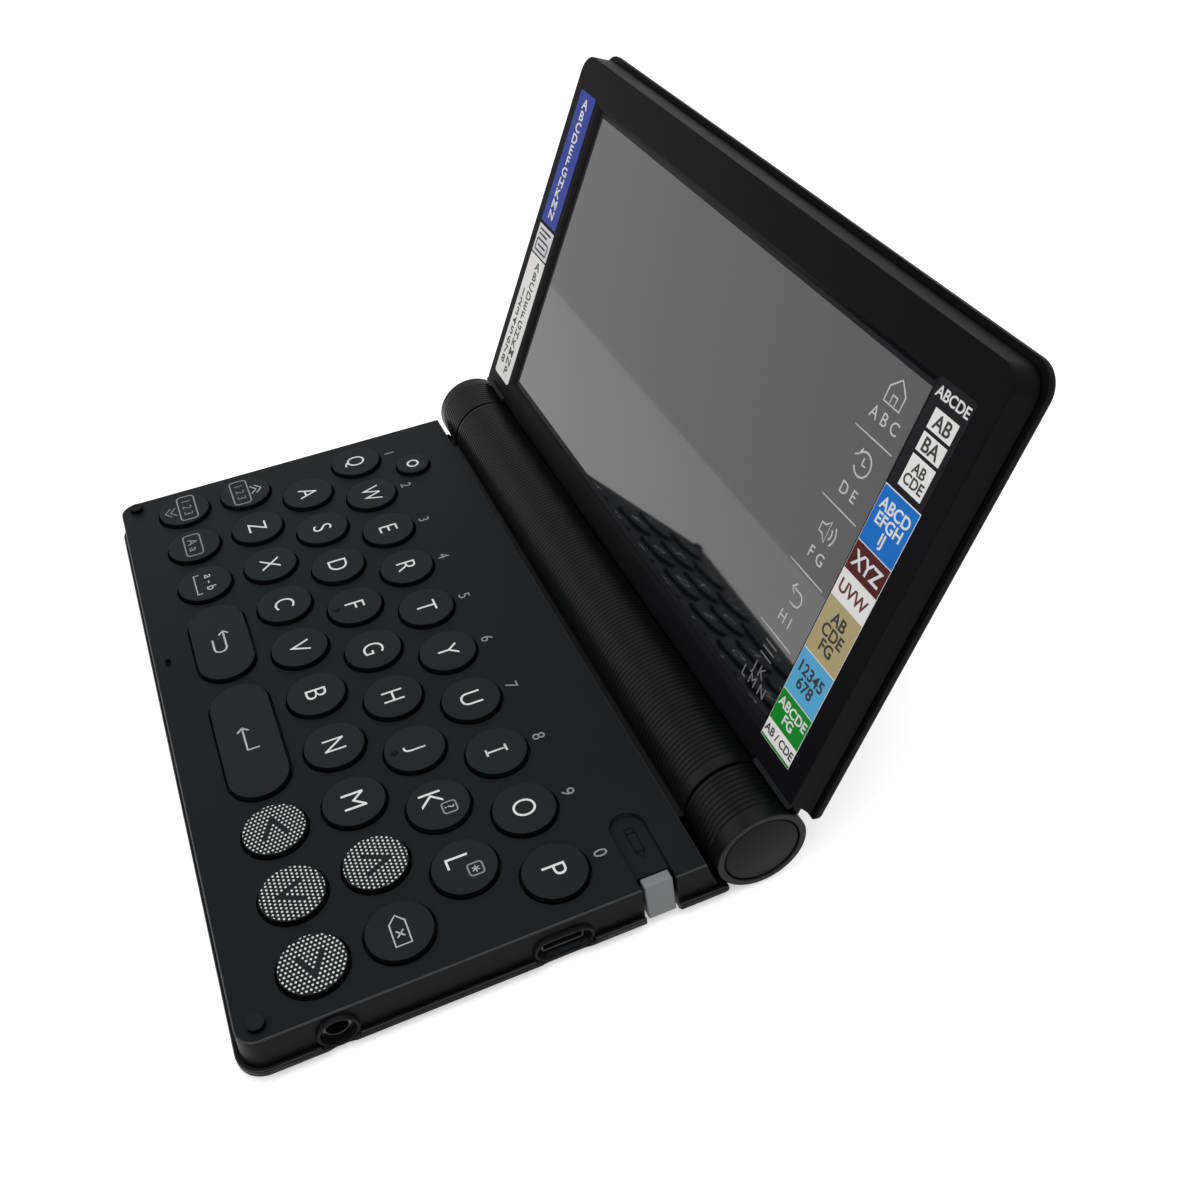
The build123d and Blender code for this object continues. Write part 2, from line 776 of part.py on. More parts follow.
def make_back_cover():
    """The outer cover: a rounded rim that stands proud of the frame, over a narrow parting groove."""
    half = lid_half + lid_wall_flare + cover_out
    front = lid_front_y - lid_wall_flare - cover_front_out
    outline = tray_outline(half, front, cover_rear_edge_y, lid_corner_radius + cover_out)
    outline = fillet(outline.vertices().group_by(Axis.Y)[-1], cover_rear_corner)
    cover = extrude(Pos(0, 0, cover_under_z) * outline, cover_thickness)
    rim = cover.edges().group_by(Axis.Z)[-1]
    cover = fillet([edge for edge in rim if edge.center().Y < cover_rear_edge_y - wall], cover_edge_round)
    cover -= rod(lid_rear_radius, -half - overcut, half + overcut)
    cover -= cover_wedge(half + overcut)
    tongue = lid_shell(cover_groove_depth, lid_wall_top_z, cover_groove, 0)
    cavity = lid_shell(lid_wall, lid_wall_top_z, cover_groove + cover_thickness - cover_skin, 0)
    save("lid_back_cover", opened(cover + tongue - cavity))


# ---------------------------------------------------------------- lid knuckles
def make_knuckles():
    """The two short barrels at the ends, each carried by a web from the lid."""
    knuckle = rod(barrel_radius, knuckle_start, knuckle_end)
    web = rod(lid_rear_radius, knuckle_start, knuckle_end - web_end_inset)
    web = web & box(
        knuckle_start,
        knuckle_end,
        case_front_y,
        barrel_centre_y,
        lid_face_z + web_front_step,
        lid_face_z + web_back_step,
    )
    knuckle += web
    rim_radius = knuckle_cap_radius + knuckle_cap_gap
    knuckle -= rod(rim_radius, knuckle_end - knuckle_cap_depth, knuckle_end + overcut)
    knuckle -= rod(shaft_radius, knuckle_start - overcut, knuckle_start + shaft_in_knuckle)
    save("hinge_knuckles", *[opened(side) for side in mirrored(knuckle)])
    cap = rod(knuckle_cap_radius, knuckle_end - knuckle_cap_depth, knuckle_end - knuckle_cap_drop)
    save("knuckle_caps", *[opened(side) for side in mirrored(cap)])
    shaft = rod(shaft_radius, barrel_half - shaft_in_barrel, knuckle_start + shaft_in_knuckle)
    save("hinge_shafts", *[opened(side) for side in mirrored(shaft)])


# ---------------------------------------------------------------- build everything
os.makedirs("parts", exist_ok=True)
make_keys()
make_top_case()
make_bottom_tray()
make_barrel()
make_battery_cover()
make_cells()
make_board_and_sheet()
make_jack()
make_data_socket()
make_speaker()
make_pads()
make_stylus()
make_bezel()
make_screen()
make_back_cover()
make_knuckles()
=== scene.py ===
import math
import bpy
from mathutils import Matrix, Vector


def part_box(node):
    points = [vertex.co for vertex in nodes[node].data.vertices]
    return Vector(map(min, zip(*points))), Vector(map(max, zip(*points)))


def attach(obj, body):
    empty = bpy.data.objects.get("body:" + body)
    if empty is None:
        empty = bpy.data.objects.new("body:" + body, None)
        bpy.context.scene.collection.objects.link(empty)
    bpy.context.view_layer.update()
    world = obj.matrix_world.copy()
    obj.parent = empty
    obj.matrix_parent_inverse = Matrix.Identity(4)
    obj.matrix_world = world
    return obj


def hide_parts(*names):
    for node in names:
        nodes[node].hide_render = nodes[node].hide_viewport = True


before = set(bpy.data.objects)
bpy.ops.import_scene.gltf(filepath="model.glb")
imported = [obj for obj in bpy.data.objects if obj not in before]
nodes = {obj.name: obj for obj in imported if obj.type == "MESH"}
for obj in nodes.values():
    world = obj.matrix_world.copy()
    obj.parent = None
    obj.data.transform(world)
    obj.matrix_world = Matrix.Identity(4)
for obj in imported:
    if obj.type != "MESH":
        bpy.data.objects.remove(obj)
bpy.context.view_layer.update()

mm = 0.001
still = Matrix.Identity(4)
hinge = {"y": 49.2 * mm, "z": 9.15 * mm, "open": math.radians(114.4), "faceAhead": 1.35 * mm}
inkDepth = 0.03 * mm  # how far printed ink stands on its surface
tiny = 0.001 * mm  # points closer than this count as one
solidMesh = {"weld": 0.002 * mm, "flat": 0.4}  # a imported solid's own points, and its flat angles
wallSlope = 0.3  # a face whose normal rises less than this belongs to a side wall
sharpEdge = 50  # a bend of more degrees than this is an edge to round


# small helpers

def nothing():
    if bpy.context.object and bpy.context.object.mode != "OBJECT":
        bpy.ops.object.mode_set(mode="OBJECT")
    bpy.ops.object.select_all(action="DESELECT")


def only(*pieces):
    nothing()
    for piece in pieces:
        piece.select_set(True)
    bpy.context.view_layer.objects.active = pieces[0]


def editAll(piece, mode="VERT"):
    only(piece)
    bpy.ops.object.mode_set(mode="EDIT")
    bpy.ops.mesh.select_mode(type=mode)
    bpy.ops.mesh.select_all(action="SELECT")


def leaveEdit():
    bpy.ops.object.mode_set(mode="OBJECT")


def faceOutwards(piece):
    editAll(piece)
    bpy.ops.mesh.normals_make_consistent(inside=False)
    leaveEdit()
    return piece


def pickEdges(piece, test):
    editAll(piece, "EDGE")
    bpy.ops.mesh.select_all(action="DESELECT")
    leaveEdit()
    points = piece.data.vertices
    for edge in piece.data.edges:
        edge.select = test(points[edge.vertices[0]].co, points[edge.vertices[1]].co)
    bpy.ops.object.mode_set(mode="EDIT")


def pickSharp(piece, angle, test):
    editAll(piece, "EDGE")
    bpy.ops.mesh.select_all(action="DESELECT")
    bpy.ops.mesh.edges_select_sharp(sharpness=math.radians(angle))
    leaveEdit()
    points = piece.data.vertices
    for edge in piece.data.edges:
        ends = [points[n].co for n in edge.vertices]
        edge.select = edge.select and test(*ends)
    for face in piece.data.polygons:
        face.select = False  # a face left selected brings its edges back
    bpy.ops.object.mode_set(mode="EDIT")


def pickFaces(piece, test):
    editAll(piece, "FACE")
    bpy.ops.mesh.select_all(action="DESELECT")
    leaveEdit()
    for face in piece.data.polygons:
        face.select = test(face)
    bpy.ops.object.mode_set(mode="EDIT")


def useModifier(piece, kind, **values):
    modifier = piece.modifiers.new(kind.title(), kind)
    for key, value in values.items():
        setattr(modifier, key, value)
    only(piece)
    bpy.ops.object.modifier_apply(modifier=modifier.name)


def roundEdges(piece, width, segments=2, angle=40):
    useModifier(piece, "BEVEL", width=width, segments=segments, limit_method="ANGLE",
                angle_limit=math.radians(angle), use_clamp_overlap=False)


def smoothen(piece, angle=35, weighted=False):
    only(piece)
    bpy.ops.object.shade_smooth_by_angle(angle=math.radians(angle))
    if weighted:
        useModifier(piece, "WEIGHTED_NORMAL", keep_sharp=True, weight=100)


def placed(piece, matrix=still):
    bpy.context.view_layer.update()
    piece.data.transform(matrix @ piece.matrix_world)
    piece.matrix_world = still
    return piece


def duplicate(piece, name, matrix=still):
    copy = bpy.data.objects.new(name, piece.data.copy())
    bpy.context.scene.collection.objects.link(copy)
    copy.data.transform(matrix)
    return copy


def joined(pieces):
    only(*pieces)
    if len(pieces) > 1:
        bpy.ops.object.join()
    return pieces[0]


def block(low, high):
    nothing()
    bpy.ops.mesh.primitive_cube_add(size=1, location=[(a + b) / 2 for a, b in zip(low, high)])
    piece = bpy.context.object
    piece.scale = [b - a for a, b in zip(low, high)]
    return placed(piece)


def mergedCopy(node):
    nothing()
    piece = duplicate(nodes[node], node + "Copy")
    editAll(piece)
    bpy.ops.mesh.remove_doubles(threshold=solidMesh["weld"])
    bpy.ops.mesh.dissolve_limited(angle_limit=math.radians(solidMesh["flat"]))
    leaveEdit()
    return piece


def traced(points):
    nothing()
    bpy.ops.mesh.primitive_plane_add(size=1 * mm, location=points[0])
    wire = placed(bpy.context.object)
    editAll(wire)
    bpy.ops.mesh.merge(type="CENTER")
    for before, after in zip(points, points[1:]):
        step = Vector(after) - Vector(before)
        bpy.ops.mesh.extrude_region_move(TRANSFORM_OT_translate={"value": step})
    leaveEdit()
    return wire


def stamped(piece, places):
    return joined([duplicate(piece, "stamp", Matrix.Translation(place)) for place in places])


def finishPiece(piece, name, body, material, replaced=()):
    piece.name = name
    piece.data.name = name
    if material:
        piece.data.materials.clear()
        piece.data.materials.append(material)
    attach(piece, body)
    if replaced:
        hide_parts(*replaced)


# gives the faces that pass the test a second material: painted shade on most parts, a painted highlight
# on the tray's lip
def paintShadeAndHighlight(piece, material, paintedLook, test):
    piece.data.materials.clear()
    piece.data.materials.append(material)
    piece.data.materials.append(paintedLook)
    for face in piece.data.polygons:
        face.material_index = int(test(face))


def upright(face):
    return abs(face.normal.z) < wallSlope


def prism(section, start, end):
    outline = traced([(start, up * mm, rise * mm) for up, rise in section + section[:1]])
    editAll(outline)
    bpy.ops.mesh.remove_doubles(threshold=tiny)
    bpy.ops.mesh.edge_face_add()
    bpy.ops.mesh.extrude_region_move(TRANSFORM_OT_translate={"value": (end - start, 0, 0)})
    leaveEdit()
    return faceOutwards(outline)


def topCentre(node):
    low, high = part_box(node)
    return Vector(((low.x + high.x) / 2, (low.y + high.y) / 2, high.z))


# the lid's own plane: x along the hinge, y up the lid from the hinge axis, z out of its face

lidPlane = (Matrix.Translation((0, hinge["y"], hinge["z"]))
            @ Matrix.Rotation(math.pi - hinge["open"], 4, "X")
            @ Matrix.Translation((0, 0, -hinge["faceAhead"])))


def onLid(x, up, rise=0.0):
    return lidPlane @ Matrix.Translation((x, up, rise))


# materials

texture = {
    "spread": (0.3, 0.7),  # the part of the noise that carries the change
    "patchDetail": 4,
    "grainDetail": 2,
    "roughSwing": 0.1,
    "relief": 0.05 * mm,
}


def noiseNode(tree, coordinates, scale, detail):
    noise = tree.nodes.new("ShaderNodeTexNoise")
    noise.inputs["Scale"].default_value = scale
    noise.inputs["Detail"].default_value = detail
    tree.links.new(coordinates, noise.inputs["Vector"])
    return noise.outputs["Fac"]


def rampNode(tree, factor, low, high):
    ramp = tree.nodes.new("ShaderNodeValToRGB")
    for stop, place, colour in zip(ramp.color_ramp.elements, texture["spread"], (low, high)):
        stop.position = place
        stop.color = (*colour, 1)
    tree.links.new(factor, ramp.inputs["Fac"])
    return ramp.outputs["Color"]


def rangeNode(tree, factor, low, high):
    spread = tree.nodes.new("ShaderNodeMapRange")
    start, end = texture["spread"]
    spread.inputs["From Min"].default_value = start
    spread.inputs["From Max"].default_value = end
    spread.inputs["To Min"].default_value = low
    spread.inputs["To Max"].default_value = high
    tree.links.new(factor, spread.inputs["Value"])
    return spread.outputs["Result"]


def surface(name, colour, roughness=0.45, specular=0.5, grain=3200, bump=0.1, mottle=0.12,
            patch=60, metallic=0.0, ior=1.5):
    material = bpy.data.materials.new(name)
    material.use_nodes = True
    tree = material.node_tree
    shader = tree.nodes["Principled BSDF"]
    shader.inputs["Specular IOR Level"].default_value = specular
    shader.inputs["Metallic"].default_value = metallic
    shader.inputs["IOR"].default_value = ior
    place = tree.nodes.new("ShaderNodeTexCoord").outputs["Object"]
    patches = noiseNode(tree, place, patch, texture["patchDetail"])
    low = [c * (1 - mottle) for c in colour]
    high = [min(1, c * (1 + mottle)) for c in colour]
    tree.links.new(rampNode(tree, patches, low, high), shader.inputs["Base Color"])
    swing = texture["roughSwing"]
    rough = rangeNode(tree, patches, roughness * (1 - swing), roughness * (1 + swing))
    tree.links.new(rough, shader.inputs["Roughness"])
    relief = tree.nodes.new("ShaderNodeBump")
    relief.inputs["Strength"].default_value = bump
    relief.inputs["Distance"].default_value = texture["relief"]
    grains = noiseNode(tree, place, grain, texture["grainDetail"])
    tree.links.new(grains, relief.inputs["Height"])
    tree.links.new(relief.outputs["Normal"], shader.inputs["Normal"])
    return material


matte = {"specular": 0.15, "ior": 1.3}
plateBlack = surface("plateBlack", (0.0062, 0.0070, 0.0078), 0.45, grain=4200, bump=0.2, **matte)
# the plate's black made lighter and glossier: the lighter colour is a painted highlight along rounded
# edges
plateEdge = surface("plateEdge", (0.0210, 0.0230, 0.0250), 0.35, 0.3, 4200, 0.1, 0.2, 90, ior=1.4)
# a darker copy of the black plastic: painted shade for side walls, key sides, gaps and recesses
paintedShadeBlack = surface("paintedShadeBlack", (0.0034, 0.0034, 0.0042), 0.42, grain=4200, bump=0.15, **matte)
keyBlack = surface("keyBlack", (0.0100, 0.0125, 0.0130), 0.5, grain=4600, bump=0.2, **matte)
barrelBlack = surface("barrelBlack", (0.0030, 0.0033, 0.0037), 0.32, 0.2, 3800, 0.12, ior=1.35)
bezelBlack = surface("bezelBlack", (0.0036, 0.0036, 0.0044), 0.42, 0.08, 4200, 0.12, ior=1.28)
coverBlack = surface("coverBlack", (0.0044, 0.0044, 0.0050), 0.44, 0.1, 3600, 0.3, ior=1.28)
capBlack = surface("capBlack", (0.0066, 0.0066, 0.0071), 0.45, grain=3000, bump=0.2, **matte)
glassDark = surface("glassDark", (0.003, 0.0035, 0.0045), 0.035, 0.5, 900, 0.004, 0.2, 25, ior=1.89)
displayDark = surface("displayDark", (0.02, 0.022, 0.022), 0.3, 0.5, 2500, 0.02)
stylusGrey = surface("stylusGrey", (0.150, 0.160, 0.160), 0.4, 0.3, 3200, 0.12, 0.06)
rubberBlack = surface("rubberBlack", (0.0080, 0.0085, 0.0090), 0.7, 0.2, 2600, 0.35, ior=1.3)
# a near-black for the bumpers' sides: painted shade round each bumper
bumperShadeBlack = surface("bumperShadeBlack", (0.0012, 0.0012, 0.0014), 0.6, 0.05, 3000, 0.2, ior=1.2)
socketBlack = surface("socketBlack", (0.005, 0.005, 0.005), 0.2, 0.5, 2000, 0.04)
socketSteel = surface("socketSteel", (0.12, 0.12, 0.12), 0.32, 0.5, 2400, 0.05, metallic=1.0)
steel = surface("steel", (0.55, 0.55, 0.54), 0.28, 0.5, 1800, 0.08, metallic=1.0)
cellWrap = surface("cellWrap", (0.09, 0.11, 0.13), 0.35, 0.5, 900, 0.05)
boardGreen = surface("boardGreen", (0.012, 0.09, 0.035), 0.4, 0.5, 1200, 0.25)
sheetGrey = surface("sheetGrey", (0.012, 0.012, 0.013), 0.6, 0.4, 2200, 0.2)
screwBlack = surface("screwBlack", (0.03, 0.03, 0.032), 0.35, 0.5, 2600, 0.15, metallic=0.7)
inkWhite = surface("inkWhite", (0.60, 0.61, 0.61), 0.5, 0.3, 6000, 0.1, 0.04)
inkPale = surface("inkPale", (0.40, 0.41, 0.41), 0.5, 0.3, 6000, 0.1, 0.05)
inkGrey = surface("inkGrey", (0.20, 0.205, 0.21), 0.5, 0.3, 6000, 0.1, 0.06)
inkDim = surface("inkDim", (0.13, 0.13, 0.14), 0.5, 0.3, 6000, 0.1, 0.06)
inkDark = surface("inkDark", (0.02, 0.02, 0.022), 0.45, 0.3, 6000, 0.1, 0.1)
inkMaroon = surface("inkMaroon", (0.09, 0.012, 0.015), 0.45, 0.3, 6000, 0.1, 0.1)
glassInk = surface("glassInk", (0.46, 0.47, 0.465), 0.4, 0.3, 6000, 0.05, 0.05)
film = {"roughness": 0.4, "specular": 0.15, "grain": 5000, "bump": 0.05, "mottle": 0.05, "ior": 1.35}
films = {
    "black": (0.006, 0.006, 0.008),
    "white": (0.68, 0.67, 0.66),
    "navy": (0.022, 0.042, 0.26),
    "blue": (0.008, 0.130, 0.46),
    "brown": (0.070, 0.012, 0.014),
    "tan": (0.36, 0.30, 0.155),
    "sky": (0.085, 0.33, 0.55),
    "green": (0.006, 0.19, 0.018),
    "silver": (0.58, 0.58, 0.60),
}
stickers = {name: surface("sticker" + name.title(), colour, **film) for name, colour in films.items()}
print("materials made")


# writing and line drawings

writing = {
    "capShare": 0.682,  # a capital's height as a share of the text size
    "widths": {"O": 0.88, "Q": 0.86, "C": 0.88, "G": 0.88, "M": 1.02, "H": 0.86, "N": 0.84,
               "W": 0.92, "A": 0.94},
    "width": 0.97,
    "thin": -0.011,
    "linePitch": 0.85,
    "bold": 0.019,
    "wide": 1.35,
    "seam": 2e-5,  # closes the seams of a letter while it is still at its text size
}


def sealed(piece, gap):
    editAll(piece)
    bpy.ops.mesh.remove_doubles(threshold=gap)
    bpy.ops.mesh.normals_make_consistent(inside=False)
    leaveEdit()
    return piece


def glyph(text, capHeight, width=1.0, thick=0.0):
    nothing()
    bpy.ops.object.text_add()
    piece = bpy.context.object
    size = capHeight / writing["capShare"]
    piece.data.body = text
    piece.data.align_x = "CENTER"
    piece.data.space_line = writing["linePitch"]
    piece.data.offset = thick
    piece.data.extrude = inkDepth / size
    bpy.ops.object.convert(target="MESH")
    piece = bpy.context.object
    sealed(piece, writing["seam"])
    across = [vertex.co.x for vertex in piece.data.vertices]
    fall = text.count("\n") * writing["linePitch"]
    middle = Vector(((min(across) + max(across)) / 2, (writing["capShare"] - fall) / 2, 0))
    return placed(piece, Matrix.Diagonal((size * width, size, size, 1)) @ Matrix.Translation(-middle))


def drawn(lines, width):
    curve = bpy.data.curves.new("lines", "CURVE")
    curve.dimensions = "3D"
    curve.bevel_depth = width / 2
    curve.bevel_resolution = 1
    curve.use_fill_caps = True
    for line in lines:
        spline = curve.splines.new("POLY")
        spline.use_cyclic_u = line[0] == line[-1]
        stops = line[:-1] if spline.use_cyclic_u else line
        spline.points.add(len(stops) - 1)
        for point, (x, y) in zip(spline.points, stops):
            point.co = (x * mm, y * mm, 0, 1)
    nothing()
    piece = bpy.data.objects.new("lines", curve)
    bpy.context.scene.collection.objects.link(piece)
    only(piece)
    bpy.ops.object.convert(target="MESH")
    piece = sealed(bpy.context.object, tiny)
    return placed(piece, Matrix.Diagonal((1, 1, 2 * inkDepth / width, 1)))


def arc(x, y, radius, fromAngle, toAngle, steps=10):
    turns = [math.radians(fromAngle + (toAngle - fromAngle) * n / steps) for n in range(steps + 1)]
    return [(x + radius * math.cos(a), y + radius * math.sin(a)) for a in turns]


def roundedFrame(x, y, width, height, radius):
    line = []
    corners = ((1, 1, 0), (-1, 1, 90), (-1, -1, 180), (1, -1, 270))
    for sideX, sideY, start in corners:
        cornerX = x + sideX * (width / 2 - radius)
        cornerY = y + sideY * (height / 2 - radius)
        line += arc(cornerX, cornerY, radius, start, start + 90, 3)
    return line + line[:1]


def moved(lines, x, y, size=1.0):
    return [[(x + px * size, y + py * size) for px, py in line] for line in lines]


chevron = [(-1.65, -0.75), (0, 0.55), (1.65, -0.75)]
backArrow = [[(-3.3, 1.0), (1.9, 1.0), *arc(1.9, -0.25, 1.25, 90, -90), (-1.2, -1.5)],
             [(-2.2, 2.0), (-3.3, 1.0), (-2.2, 0.0)]]
enterArrow = [[(3.1, 1.6), (3.1, -0.7), (-3.1, -0.7)], [(-2.0, 0.4), (-3.1, -0.7), (-2.0, -1.8)]]
deleteTag = [[(-3.0, 0), (-1.5, 1.35), (3.0, 1.35), (3.0, -1.35), (-1.5, -1.35), (-3.0, 0)],
             [(0.1, 0.65), (1.4, -0.65)], [(0.1, -0.65), (1.4, 0.65)]]
spaceMark = [[(-3.4, 0.5), (-3.4, -0.6), (3.4, -0.6), (3.4, 0.5)]]
powerRing = [arc(0, 0, 1.25, 0, 360, 24)]
pageFrame = roundedFrame(0, 0, 9.7, 3.9, 0.9)
shiftFrame = roundedFrame(0, 0, 8.0, 3.7, 0.8)
star = [[(1.0, 0), (-1.0, 0)], [(0.5, 0.87), (-0.5, -0.87)], [(0.5, -0.87), (-0.5, 0.87)]]
strokes = {
    "i": [[(0, -1.85), (0, 1.85)], [(-0.85, 1.85), (0.85, 1.85)], [(-0.85, -1.85), (0.85, -1.85)]],
    "j": [[(0.55, 2.0), (0.55, -1.0), (0.35, -1.65), (-0.1, -1.95), (-0.7, -1.9)]],
}


# keyboard

keyboard = {
    "radius": 5.7 * mm,
    "powerRadius": 3.8 * mm,
    "edge": 0.16 * mm,
    "sides": 72,
    "holeGap": 0.42 * mm,
    "holeDepth": 4 * mm,
    "segments": 3,
    "wideSmooth": 40,
    "flatTop": 0.999,
    "plateEdge": 0.16 * mm,
    "outerEdge": 0.24 * mm,
    "collarEdge": 0.12 * mm,
    "collarReach": 0.01 * mm,
    "sideSlope": 0.4,
    "half": 77.0 * mm,
    "front": -40.0 * mm,
    "corner": 4.0 * mm,
    "rim": 0.7 * mm,
    "micAt": (-16.3 * mm, -37.2 * mm),
    "micSize": (2.7 * mm, 1.2 * mm),
}
letters = "qwertyuiopasdfghjklzxcvbnm"
arrows = {"up": 0, "left": 90, "down": 180, "right": 270}
otherRound = ["page_up", "page_down", "shift", "space", "delete", *arrows]
roundKeys = ["key_" + name for name in [*letters, *otherRound]]


def cutter(x, y, radius, stretch=1.0):
    nothing()
    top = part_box("key_q")[1].z
    bpy.ops.mesh.primitive_cylinder_add(vertices=keyboard["sides"], radius=radius,
                                        depth=keyboard["holeDepth"], location=(x, y, top))
    piece = bpy.context.object
    piece.scale.y = stretch
    return placed(piece)


def makePlate():
    plate = mergedCopy("base_top_case")
    cutters = []
    for name in roundKeys:
        spot = topCentre(name)
        cutters.append(cutter(spot.x, spot.y, keyboard["radius"] + keyboard["holeGap"]))
    spot = topCentre("key_power")
    cutters.append(cutter(spot.x, spot.y, keyboard["powerRadius"] + keyboard["holeGap"]))
    wide, long = keyboard["micSize"]
    cutters.append(cutter(*keyboard["micAt"], wide / 2, long / wide))
    holes = joined(cutters)
    useModifier(plate, "BOOLEAN", operation="DIFFERENCE", solver="EXACT", object=holes)
    bpy.data.objects.remove(holes)
    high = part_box("base_top_case")[1]
    corner, rim = keyboard["corner"], keyboard["rim"]

    def atRim(point):
        inX = keyboard["half"] - corner - abs(point.x)
        inY = point.y - keyboard["front"] - corner
        if max(inX, inY) < 0:
            return math.hypot(inX, inY) > corner - rim
        return min(inX, inY) < rim - corner

    def onTop(a, b):
        return min(a.z, b.z) > high.z - tiny

    looks = [plateBlack, plateEdge, paintedShadeBlack]
    plate.data.materials.clear()
    for material in looks:
        plate.data.materials.append(material)
    rounds = [
        # edges, width, place in looks, with -1 for the faces' own
        # the outer rim's rounded top edge takes plateEdge, a painted highlight line
        (lambda a, b: onTop(a, b) and atRim(a) and atRim(b), keyboard["outerEdge"],
         looks.index(plateEdge)),
        (lambda a, b: onTop(a, b) and not (atRim(a) and atRim(b)), keyboard["plateEdge"], -1),
        (lambda a, b: min(a.x, b.x) > high.x - keyboard["collarReach"], keyboard["collarEdge"], -1),
    ]
    for edges, width, material in rounds:
        pickSharp(plate, sharpEdge, edges)
        bpy.ops.mesh.bevel(offset=width, segments=2, affect="EDGES", material=material,
                           loop_slide=False)
        leaveEdit()
    smoothen(plate, weighted=True)
    # outer side walls take the darker black: painted shade
    for face in plate.data.polygons:
        wall = atRim(face.center) and abs(face.normal.z) < keyboard["sideSlope"]
        if wall and face.material_index == looks.index(plateBlack):
            face.material_index = looks.index(paintedShadeBlack)
    finishPiece(plate, "keyboardPlate", "base", None, ["base_top_case"])


def makeKeytop(radius, height, sides=keyboard["sides"], edge=keyboard["edge"]):
    nothing()
    bpy.ops.mesh.primitive_cylinder_add(vertices=sides, radius=radius, depth=height,
                                        location=(0, 0, -height / 2))
    top = placed(bpy.context.object)
    pickEdges(top, lambda a, b: min(a.z, b.z) > -tiny)
    bpy.ops.mesh.bevel(offset=edge, segments=keyboard["segments"], affect="EDGES", clamp_overlap=True)
    leaveEdit()
    pickFaces(top, lambda face: face.normal.z > keyboard["flatTop"])
    bpy.ops.mesh.inset(thickness=edge)
    leaveEdit()
    smoothen(top, sharpEdge, True)
    return top


def makeKeys():
    low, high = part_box("key_q")
    for size, names in ((keyboard["radius"], roundKeys), (keyboard["powerRadius"], ["key_power"])):
        model = makeKeytop(size, high.z - low.z)
        # key side walls take the darker black: painted shade from the key holes
        paintShadeAndHighlight(model, keyBlack, paintedShadeBlack, upright)
        for name in names:
            top = duplicate(model, name, Matrix.Translation(topCentre(name)))
            finishPiece(top, name.replace("key_", "keytop_"), name, None, [name])
        bpy.data.objects.remove(model)
    for name in ("key_back", "key_enter"):
        top = mergedCopy(name)
        roundEdges(top, keyboard["edge"], keyboard["segments"], sharpEdge)
        smoothen(top, keyboard["wideSmooth"], True)
        # their side walls take the darker black: painted shade
        paintShadeAndHighlight(top, keyBlack, paintedShadeBlack, upright)
        finishPiece(top, name.replace("key_", "keytop_"), name, None, [name])


def printOn(name, node, piece, ink, x=0.0, y=0.0):
    placed(piece, Matrix.Translation(topCentre(node) + Vector((x * mm, y * mm, 0))))
    finishPiece(piece, name, node, ink)


# what is printed on the keys and the plate

legend = {
    "letter": 4.18 * mm,
    "line": 0.45 * mm,
    "fineLine": 0.34 * mm,
    "digit": 2.35 * mm,
    "digitY": 24.2 * mm,
    "digitShift": -0.7 * mm,
    "shifts": {"k": (-1.5, -0.9), "l": (-1.4, -0.8), "j": (-0.1, 0)},
    "boxes": {"k": (1.5, 1.65), "l": (1.3, 1.65)},
    "boxSize": 2.55,
    "boxCorner": 0.5,
    "questionMark": 1.7 * mm,
    "starSize": 0.75,
    "starLine": 0.7,  # a share of the fine line
    "ringLine": 0.55 * mm,
    "chevronStep": 1.2,
    "wordWidth": 1.1,
    "dotCut": 0.0001 * mm,
    "homeDot": (0.7 * mm, 0.3 * mm),
    "homeAt": (-0.3, -3.9),
}


def makeLetters():
    for letter in letters:
        node = "key_" + letter
        capital = letter.upper()
        if letter in strokes:
            sign = drawn(strokes[letter], legend["line"])
        else:
            width = writing["widths"].get(capital, writing["width"])
            sign = glyph(capital, legend["letter"], width, writing["thin"])
        printOn("legend_" + letter, node, sign, inkWhite, *legend["shifts"].get(letter, (0, 0)))
    for letter, (x, y) in legend["boxes"].items():
        node = "key_" + letter
        frameLine = [roundedFrame(0, 0, legend["boxSize"], legend["boxSize"], legend["boxCorner"])]
        printOn("boxFrame_" + letter, node, drawn(frameLine, legend["fineLine"]), inkGrey, x, y)
        if letter == "k":
            mark = glyph("?", legend["questionMark"])
        else:
            mark = drawn(moved(star, 0, 0, legend["starSize"]), legend["fineLine"] * legend["starLine"])
        printOn("boxMark_" + letter, node, mark, inkPale, x, y)
    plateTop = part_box("base_top_case")[1].z
    for number, letter in zip("1234567890", letters):
        spot = topCentre("key_" + letter)
        mark = glyph(number, legend["digit"])
        placed(mark, Matrix.Translation((spot.x + legend["digitShift"], legend["digitY"], plateTop)))
        finishPiece(mark, "digit_" + number, "base", inkGrey)


